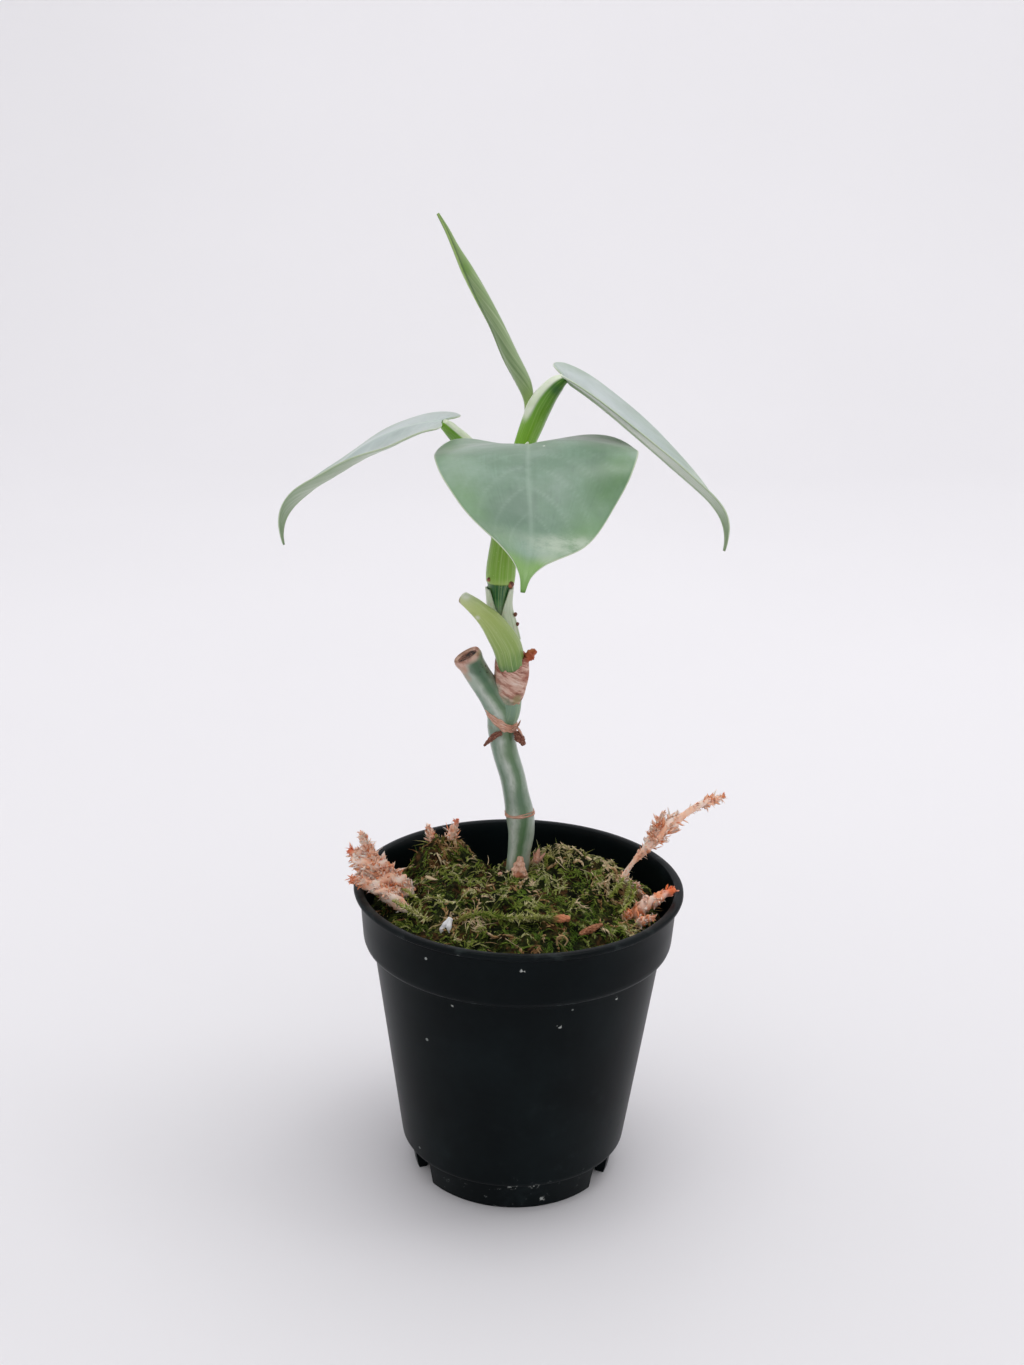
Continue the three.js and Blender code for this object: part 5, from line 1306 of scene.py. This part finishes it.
stub = {"path": [[-4, 6.2, 164.4], [-5.3, 5, 170.2], [-7.8, 4, 174.8], [-10.5, 3, 178.8], [-13.2, 2.5, 181.6],
                 [-15.3, 2, 183.6], [-18.3, 1.8, 185.9]], "radii": [4.1, 4.3, 3.9, 3.3, 2.7, 2.4, 1.9]}


def stubLook():
    finish, body = greenLook("stubSkin", [
        (163, "3d6a34"), (165.5, "7a9c4a"), (170, "8fab55"), (176, "9fb660"), (181, "aebf6a"),
        (184, "bccb80"), (187.5, "d5dcb4")], "c9d69c", 0.36, 0.45, 13.0, 1.4)
    dark = finish.times(finish.near((-1.6, 3.0, 166.0), 1.5, 5.5),
                        finish.remap(finish.fibres(15.0, 1.2), 0.45, 0.6))
    body = finish.over(body, dark, "4f8034", 0.75)
    finish.colour(finish.spots(body, [
        ((-19.4, 1.6, 185.2), 0.5, 1.5, "8a6440", 0.9), ((-17.6, 0.4, 187.6), 0.8, 2.4, "e8ebdc", 0.8),
        ((-14.0, 0.6, 180.6), 0.3, 1.2, "dfe0d4", 0.7)]))
    return finish.material


makePiece("petioleStub", [tubePart(
    stub["path"], stub["radii"], 110, 84,
    lambda turn, share: 1 + 0.035 * np.cos(7 * turn) * (1 - share) + 0.012 * np.cos(21 * turn),
    domes=(0.3, 0.55))], stubLook(), ["petiole_stub"])

sheath = {"path": [[-5.3, 9.7, 170.5], [-6.6, 10, 175.5], [-7.8, 10.4, 181], [-8, 10.4, 187.2]],
          "radii": [4.1, 4.1, 3.9, 4.3]}


def sheathTop(turn):
    # the upper edge is high behind and dips in a V at the front
    gap = np.abs((turn + np.pi) % (2 * np.pi) - np.pi)
    return 1.0 - 0.5 * np.clip(1 - gap / 0.85, 0, 1)


def sheathLook():
    finish, body = greenLook("sheathSkin", [
        (169, "8fa870"), (174, "a7bb8c"), (180, "bccaab"), (188, "cdd6bd")], "e2e7d6", 0.5, 0.6, 12.0, 1.0)
    finish.colour(finish.over(body, finish.blotches(420.0, 0.56, 0.66), "c9a9a0", 0.35))
    return finish.material


makePiece("shootSheath", [
    sleevePart(sheath["path"], sheath["radii"], 44, 110, 0.5, sheathTop, wrinkles(0.012, 5, 9, 2)),
], sheathLook(), ["shoot_sheath"])

petioles = {
    "Left": {
        "path": [[-7.4, 11.6, 199], [-9, 11.2, 208], [-11.6, 10.9, 218.5], [-17.4, 12, 228.2],
                 [-21.8, 10.6, 232.8], [-25.2, 8.6, 236.2]], "radii": [2.9, 3, 2.8, 2.6, 2.3, 1.5],
        "membrane": (1, 0.5), "wing": [[-19, 11, 232.8], [-22, 9.8, 236], [-24.6, 8.6, 237.6]]},
    "Front": {
        "path": [[-5.8, 9.2, 202], [-4.9, 6.4, 212], [-2.8, 2.4, 221.5], [-1.2, -1.6, 228.4],
                 [-0.5, -3.9, 231.6]], "radii": [3, 3, 2.7, 2.3, 1.9], "membrane": (-1, 0.8),
        "wing": [[-1.8, -1, 232.2], [-0.9, -2.6, 233.4], [-0.6, -3.4, 233.6]]},
    "Right": {
        "path": [[-5.5, 12.3, 209], [-3.6, 13.5, 218.5], [-1.8, 14.6, 229], [0.4, 15, 235.4],
                 [2.5, 15.5, 240.8], [5, 15.9, 244.8], [7.4, 16, 247.5], [9.3, 16, 248.9]],
        "radii": [3.9, 3.7, 3.1, 3.4, 3.6, 3.1, 2.5, 1.6], "membrane": (-1, 0.36),
        "wing": [[1.2, 16.4, 242.6], [3.9, 16.4, 246.8], [8, 16.2, 249.6]]},
}


def wingPart(path, edge, thickness):
    # a thin fin: flat ovals from the stalk's axis out to a given edge
    root, outer = smoothPath(path[-len(edge):], 40), smoothPath(edge, 40)
    normal = unit(np.cross(np.gradient(root, axis=0), outer - root + 1e-6))[:, None]
    turn = fullTurn(32)[None, :, None]
    middle, reach = ((root + outer) / 2)[:, None], ((outer - root) / 2)[:, None]
    grid = middle + reach * np.cos(turn) + normal * thickness / 2 * np.sin(turn)
    ends = np.array([grid[0].mean(axis=0), grid[-1].mean(axis=0)])
    return closedPart(grid, np.zeros(grid.shape), np.full(grid.shape[:2], 1.0), ends)


def petioleLook():
    finish, body = greenLook("petioleSkin", [
        (199, "69981c"), (212, "73a51a"), (226, "7ab01c"), (236, "70a61a"), (243, "629a1c"), (249, "37701c")],
        "a9cc6a", 0.3)
    body = finish.spots(body, [
        ((6.8, 14.0, 246.2), 0.6, 2.4, "2f6a22", 0.8), ((-22.5, 8.8, 232.6), 1.0, 4.0, "4c8427", 0.5)])
    pale = finish.mix(finish.blotches(260.0, 0.3, 0.7), "e3e9d6", "cfdcbb")
    finish.colour(finish.mix(finish.remap(finish.tone, 0.15, 0.75), body, pale))
    return finish.material


def membrane(flank, start):
    # the pale skin on one flank of a stalk, from a share of its length upwards
    return lambda turn, share: fade(flank * np.sin(turn), 0.1, 0.75) * fade(share, start, start + 0.2)


petioleSkin = petioleLook()
for label, stalk in petioles.items():
    parts = [tubePart(stalk["path"], stalk["radii"], 120, 48, lambda turn, share: 1 + 0.01 * np.sin(9 * turn),
                      membrane(*stalk["membrane"])),
             wingPart(stalk["path"], stalk["wing"], 0.8)]
    makePiece("petiole" + label, parts, petioleSkin, ["petiole_" + label.lower()])
print("stalks ready")

bladeOutline = [[0, 0.035], [-0.055, 0.075], [-0.13, 0.15], [-0.165, 0.24], [-0.13, 0.34], [-0.02, 0.41],
                [0.14, 0.43], [0.32, 0.395], [0.5, 0.315], [0.67, 0.21], [0.8, 0.115], [0.88, 0.055],
                [0.94, 0.022], [1, 0.009]]
bladeStations = [-0.3, 0, 0.25, 0.5, 0.78, 1.02]
bladeSheet = {"rows": 130, "columns": 30, "thickness": 0.62, "rib": 0.8, "ribWidth": 0.85, "curlSpan": 30,
              "crowding": 1.2, "veinLean": 0.38, "veinWidth": 0.006, "quilt": 0.04, "quiltWaves": 11,
              "veins": [-0.3, -0.21, -0.13, -0.06, 0.0, 0.06, 0.125, 0.2, 0.285, 0.38, 0.49, 0.61, 0.74]}
blades = {
    "Left": {
        "length": 65.1, "attach": [-25.7, 8, 237],
        "pitch": [13, -6, -24, -42, -46, -112], "heading": [177, 178, 179, 177, 174, 177],
        "right": {"width": 0.8, "lobe": 0.41,
                  "fold": [-10, -1, -1, -1, 18, 30], "curl": [-6, -3, -3, 4, 0, 1]},
        "left": {"width": 0.94, "lobe": 0.11,
                 "fold": [4, 0, -16, -22, 6, 33], "curl": [-2, 9, 37, 86, 99, 70]}},
    "Front": {
        "length": 76.7, "attach": [-0.5, -4, 232.6],
        "pitch": [17, 13, -15, -34, -13, -48], "heading": [-90, -89, -90, -86, -93, -99],
        "right": {"width": 0.8, "lobe": 0.98,
                  "fold": [20, 3, 3, 7, 11, 12], "curl": [3, -15, -19, -18, -10, -12]},
        "left": {"width": 0.93, "lobe": 0.86,
                 "fold": [33, 16, 8, -6, -7, -2], "curl": [-27, -31, -18, -13, -22, -18]}},
    "Right": {
        "length": 73.8, "attach": [9.5, 16, 249.2],
        "pitch": [-14, -31, -39, -40, -47, -107], "heading": [2, 1, 3, 2, 1, 3],
        "right": {"width": 0.84, "lobe": 0.2,
                  "fold": [3, 6, 6, 8, 16, 40], "curl": [1, 0, -1, 3, 3, -1]},
        "left": {"width": 0.87, "lobe": 0.28,
                 "fold": [-11, 1, 7, 11, 8, -6], "curl": [-4, 3, 2, -2, 0, 0]}},
}


def bladeDirections(blade, share):
    pitch = np.radians(smoothValues(bladeStations, blade["pitch"], share))
    heading = np.radians(smoothValues(bladeStations, blade["heading"], share))
    forward = np.stack([np.cos(pitch) * np.cos(heading), np.cos(pitch) * np.sin(heading), np.sin(pitch)],
                       axis=-1)
    side = np.stack([np.sin(heading), -np.cos(heading), np.zeros(heading.shape)], axis=-1)
    return forward, side, np.cross(side, forward)


def bladePart(blade):
    # point = midrib(along) +- side * (sin(f + k * out) - sin(f)) / k + up * (cos(f) - cos(f + k * out)) / k,
    # where f is the fold and k the curl at that place along the blade
    sheet = bladeSheet
    shares = np.linspace(bladeStations[0], bladeStations[-1], 1201)
    step = shares[1] - shares[0]
    forward = bladeDirections(blade, shares[:-1] + step / 2)[0]
    midrib = np.vstack([np.zeros(3), np.cumsum(forward * step * blade["length"], axis=0)])
    midrib += np.array(blade["attach"]) - sample(0, shares, midrib)
    dense = smoothPath(np.column_stack([bladeOutline, np.zeros(len(bladeOutline))]), 2600)[:, :2]
    walked = np.concatenate([[0], np.cumsum(np.linalg.norm(np.diff(dense, axis=0), axis=1))])
    row = np.linspace(0, 1, sheet["rows"] + 1)
    margin = sample(row * walked[-1], walked, dense)
    even = np.linspace(0, 1, sheet["columns"] + 1)
    column = 0.5 * (1 - np.cos(np.pi * even)) * 0.55 + even * 0.45

    def half(values, sign):
        across, down = np.meshgrid(column, row)
        edgeAlong = np.where(margin[:, 0] < 0, margin[:, 0] * values["lobe"], margin[:, 0])[:, None]
        along = down ** sheet["crowding"] * (1 - across) + edgeAlong * across
        out = margin[:, 1][:, None] * values["width"] * across * blade["length"]
        fold = np.radians(smoothValues(bladeStations, values["fold"], along))
        bend = np.radians(smoothValues(bladeStations, values["curl"], along)) / sheet["curlSpan"]
        bend = np.where(np.abs(bend) < 1e-6, 1e-6, bend)
        _, side, up = bladeDirections(blade, along)
        centre = sample(along, shares, midrib)
        points = (centre + sign * side * ((np.sin(fold + bend * out) - np.sin(fold)) / bend)[..., None]
                  + up * ((np.cos(fold) - np.cos(fold + bend * out)) / bend)[..., None])
        return points, np.stack([down, sign * across, out], axis=-1)

    left, leftPlace = half(blade["left"], -1)
    right, rightPlace = half(blade["right"], 1)
    grid = np.concatenate([left[:, :0:-1], right], axis=1)
    place = np.concatenate([leftPlace[:, :0:-1], rightPlace], axis=1)
    normal = unit(np.cross(np.gradient(grid, axis=1), np.gradient(grid, axis=0)))
    down, across, out = place[..., 0], np.abs(place[..., 1]), place[..., 2]
    lead = down - sheet["veinLean"] * across  # constant along a vein
    lines = sum(np.exp(-((lead - at) / sheet["veinWidth"]) ** 2) for at in sheet["veins"])
    lines = lines * np.clip(1.2 - across, 0, 1)
    middle = np.exp(-(out / 0.7) ** 2) * (1 - 0.6 * down)
    vein = np.clip(np.maximum(lines * (1 - np.exp(-(out / 1.2) ** 2)) * 0.5, middle), 0, 1)
    quilt = sheet["quilt"] * np.cos(2 * np.pi * lead * sheet["quiltWaves"]) * np.clip(across * 4, 0, 1)
    quilt *= np.clip((1 - across) * 5, 0, 1)
    thin = np.sqrt(np.clip(1 - ((across - 0.955) / 0.045).clip(0, 1) ** 2, 0.09, 1))
    ends = np.minimum(1, 0.35 + down * 8) * np.minimum(1, 0.3 + (1 - down) * 12)
    halfThick = sheet["thickness"] / 2 * thin * ends
    top = grid + normal * (halfThick + quilt - 0.07 * vein)[..., None]
    rib = sheet["rib"] * np.exp(-(out / sheet["ribWidth"]) ** 2) * (1 - 0.85 * down)
    rib = rib * np.minimum(1, down * 12 + 0.25)
    under = grid - normal * (halfThick - quilt + rib + 0.04 * lines)[..., None]

    rows, columns = grid.shape[:2]
    index = np.arange(rows * columns).reshape(rows, columns)
    quads = np.stack([index[:-1, :-1], index[:-1, 1:], index[1:, 1:], index[1:, :-1]], axis=-1).reshape(-1, 4)
    border = np.concatenate([index[0, :-1], index[:-1, -1], index[-1, :0:-1], index[:0:-1, 0]])
    after = np.roll(border, -1)
    size = rows * columns
    strip = np.stack([border, border + size, after + size, after], axis=-1)
    pattern = np.stack([lead, place[..., 1], np.ones(lead.shape)], axis=-1).reshape(-1, 3)
    below = pattern * np.array([1, 1, 0])  # the last number tells the upper side from the lower
    return {"verts": np.concatenate([top.reshape(-1, 3), under.reshape(-1, 3)]),
            "place": np.concatenate([pattern, below]), "tone": np.tile(vein.reshape(-1), 2),
            "quads": np.concatenate([quads, quads[:, ::-1] + size, strip]), "tris": np.zeros((0, 3), int)}


def bladeLook(name, shades, green, bloomSheenShade, bloomLevels, ribShare, marks=()):
    # fine lines along the veins, a pale waxy bloom that is partly painted highlight, greener flanks and tip,
    # a painted highlight band across the folds near the tip, and a thin clear margin
    finish = Finish(name, 0.38, Sheen_Weight=0.45, Sheen_Roughness=0.45, Subsurface_Weight=0.04,
                    Subsurface_Radius=(0.001, 0.002, 0.001))
    tree = finish.tree
    lead, across, upper = separate(tree, finish.place)
    reach = node(tree, "ShaderNodeMath", {0: across}, operation="ABSOLUTE").outputs[0]
    down = finish.plus(lead, finish.times(reach, bladeSheet["veinLean"]))
    streaks = noise(tree, combine(tree, finish.times(across, 34.0), finish.times(down, 3.0), upper), 1.0, 4.0)
    patch = finish.blotches(60.0, 0.3, 0.7)
    top = ramp(tree, finish.plus(finish.times(streaks, 0.4), finish.times(patch, 0.6)),
               list(zip((0.2, 0.5, 0.85), shades)))
    flank = finish.remap(finish.plus(reach, finish.times(down, 0.6)), 0.62, 1.25)
    top = finish.over(top, finish.times(flank, finish.blotches(38.0, 0.25, 0.6)), green, 0.6)
    # waxy bloom, partly painted highlight on the upper folds
    bloomAndSheen = finish.times(finish.blotches(42.0, *bloomLevels, 0.65), finish.remap(down, 0.95, 0.2))
    top = finish.over(top, bloomAndSheen, bloomSheenShade, 0.75)
    lobe = finish.times(finish.remap(down, 0.0, -0.09), finish.remap(across, 0.15, 0.4))
    top = finish.over(top, lobe, "5f8a63", 0.8)
    top = finish.over(top, finish.tone, "b4c8b8", ribShare)
    # painted highlight: a pale band across the folds near the tip
    tipFoldHighlight = finish.times(finish.remap(down, 0.7, 0.76), finish.remap(down, 0.88, 0.8))
    tipFoldHighlight = finish.times(tipFoldHighlight, finish.remap(across, 0.35, -0.5, 0.1, 0.75))
    top = finish.over(top, tipFoldHighlight, "b4c2ad", finish.blotches(160.0, 0.3, 0.65, 0.75))
    top = finish.mix(finish.remap(down, 0.84, 0.93, 0.0, 0.9), top, "6f9c40")
    top = finish.mix(finish.specks(520.0, 0.004, 0.3), top, "e6eadf")
    under = finish.mix(finish.remap(streaks, 0.3, 0.7), "7d9a6e", "98ae88")
    under = finish.over(under, finish.tone, "b4c59c", 0.5)
    body = finish.spots(finish.mix(upper, under, top), marks)
    finish.colour(finish.mix(finish.remap(reach, 0.98, 0.994), body, "bccbab"))
    finish.shine(finish.remap(patch, 0.0, 1.0, 0.33, 0.45))
    finish.bump(finish.plus(streaks, finish.times(finish.blotches(900.0, 0.3, 0.7), 0.3)), 0.04, 0.5)
    return finish.material


# the pale spot near the front blade's tip is painted highlight, the inner end of the fold band
frontSkin = bladeLook("frontBlade", ("507259", "5f8166", "72937b"), "628e4e", "8ea596", (0.42, 0.7), 0.25, [
    ((5.8, -63.5, 214.6), 1.0, 5.5, "b9c5b4", 0.4)])
# a paler, bluer copy for the side blades: painted sheen for their tops, seen at a grazing angle
sideSheenSkin = bladeLook("sideBladeSheen", ("7f958b", "8fa49b", "a3b3ae"), "7f9c76", "b4c1bf", (0.35, 0.65), 0.75)
for label, blade in blades.items():
    makePiece("blade" + label, [bladePart(blade)], frontSkin if label == "Front" else sideSheenSkin,
              ["leaf_" + label.lower()])

spear = {"path": [[-1.6, 18, 234], [-0.8, 19, 239], [-0.9, 20, 242.2], [-2.2, 20.5, 246.5], [-6.4, 21, 254.5],
                  [-10.8, 21.5, 263.6], [-15.4, 22, 271.7], [-19.6, 22, 279], [-23, 22, 285.1],
                  [-25.5, 22, 289.9], [-28.1, 22, 294.2]],
         "radii": [1, 1.2, 1.6, 2.2, 2.3, 2.05, 2.05, 1.75, 1.05, 0.75, 0.45], "overlap": 0.16}


def spearTurn(turn, share):
    # how far round the roll a point is: 1 just inside the outer edge, 0 just past it
    return (turn / (2 * np.pi) + 0.45 - 0.5 * share + 2) % 1


def spearLook():
    # slanting lines round the roll, a greener tip and foot, a pale outer edge, and a dark strip just past it
    # that is painted shade under the overlap
    finish = Finish("spearSkin", 0.4, Sheen_Weight=0.25)
    around = finish.plus(finish.times(finish.tone, 22.0), finish.times(finish.part(2), 40.0))
    slant = noise(finish.tree, combine(finish.tree, around, finish.times(finish.tone, 2.0), 0.0), 1.0, 3.0)
    body = ramp(finish.tree, slant, [(0.3, "758f5c"), (0.5, "8ca373"), (0.7, "a8b990")])
    body = finish.mix(finish.remap(finish.axis("Z"), 0.262, 0.294, 0.0, 0.75), body, "7f9f52")
    body = finish.mix(finish.remap(finish.axis("Z"), 0.25, 0.238, 0.0, 0.8), body, "8bab4c")
    body = finish.spots(body, [
        ((-20.6, 19.0, 279.0), 1.0, 4.0, "6f9a38", 0.8), ((-17.6, 19.4, 270.6), 0.8, 3.2, "86ab52", 0.6)])
    body = finish.mix(finish.remap(finish.tone, 0.86, 0.95, 0.0, 0.9), body, "a3c168")
    # painted shade: dark just past the outer edge, under its overlap
    finish.colour(finish.mix(finish.remap(finish.tone, 0.07, 0.0), body, "4f6f3a"))
    finish.bump(slant, 0.06, 0.5)
    return finish.material


def spearRelief(turn, share):
    # the roll is thickest at its outer edge
    return 1 + spear["overlap"] * (spearTurn(turn, share) - 0.5)


makePiece("newLeaf", [tubePart(spear["path"], spear["radii"], 200, 80, spearRelief, spearTurn)], spearLook(),
          ["new_leaf"])
print("leaves ready")
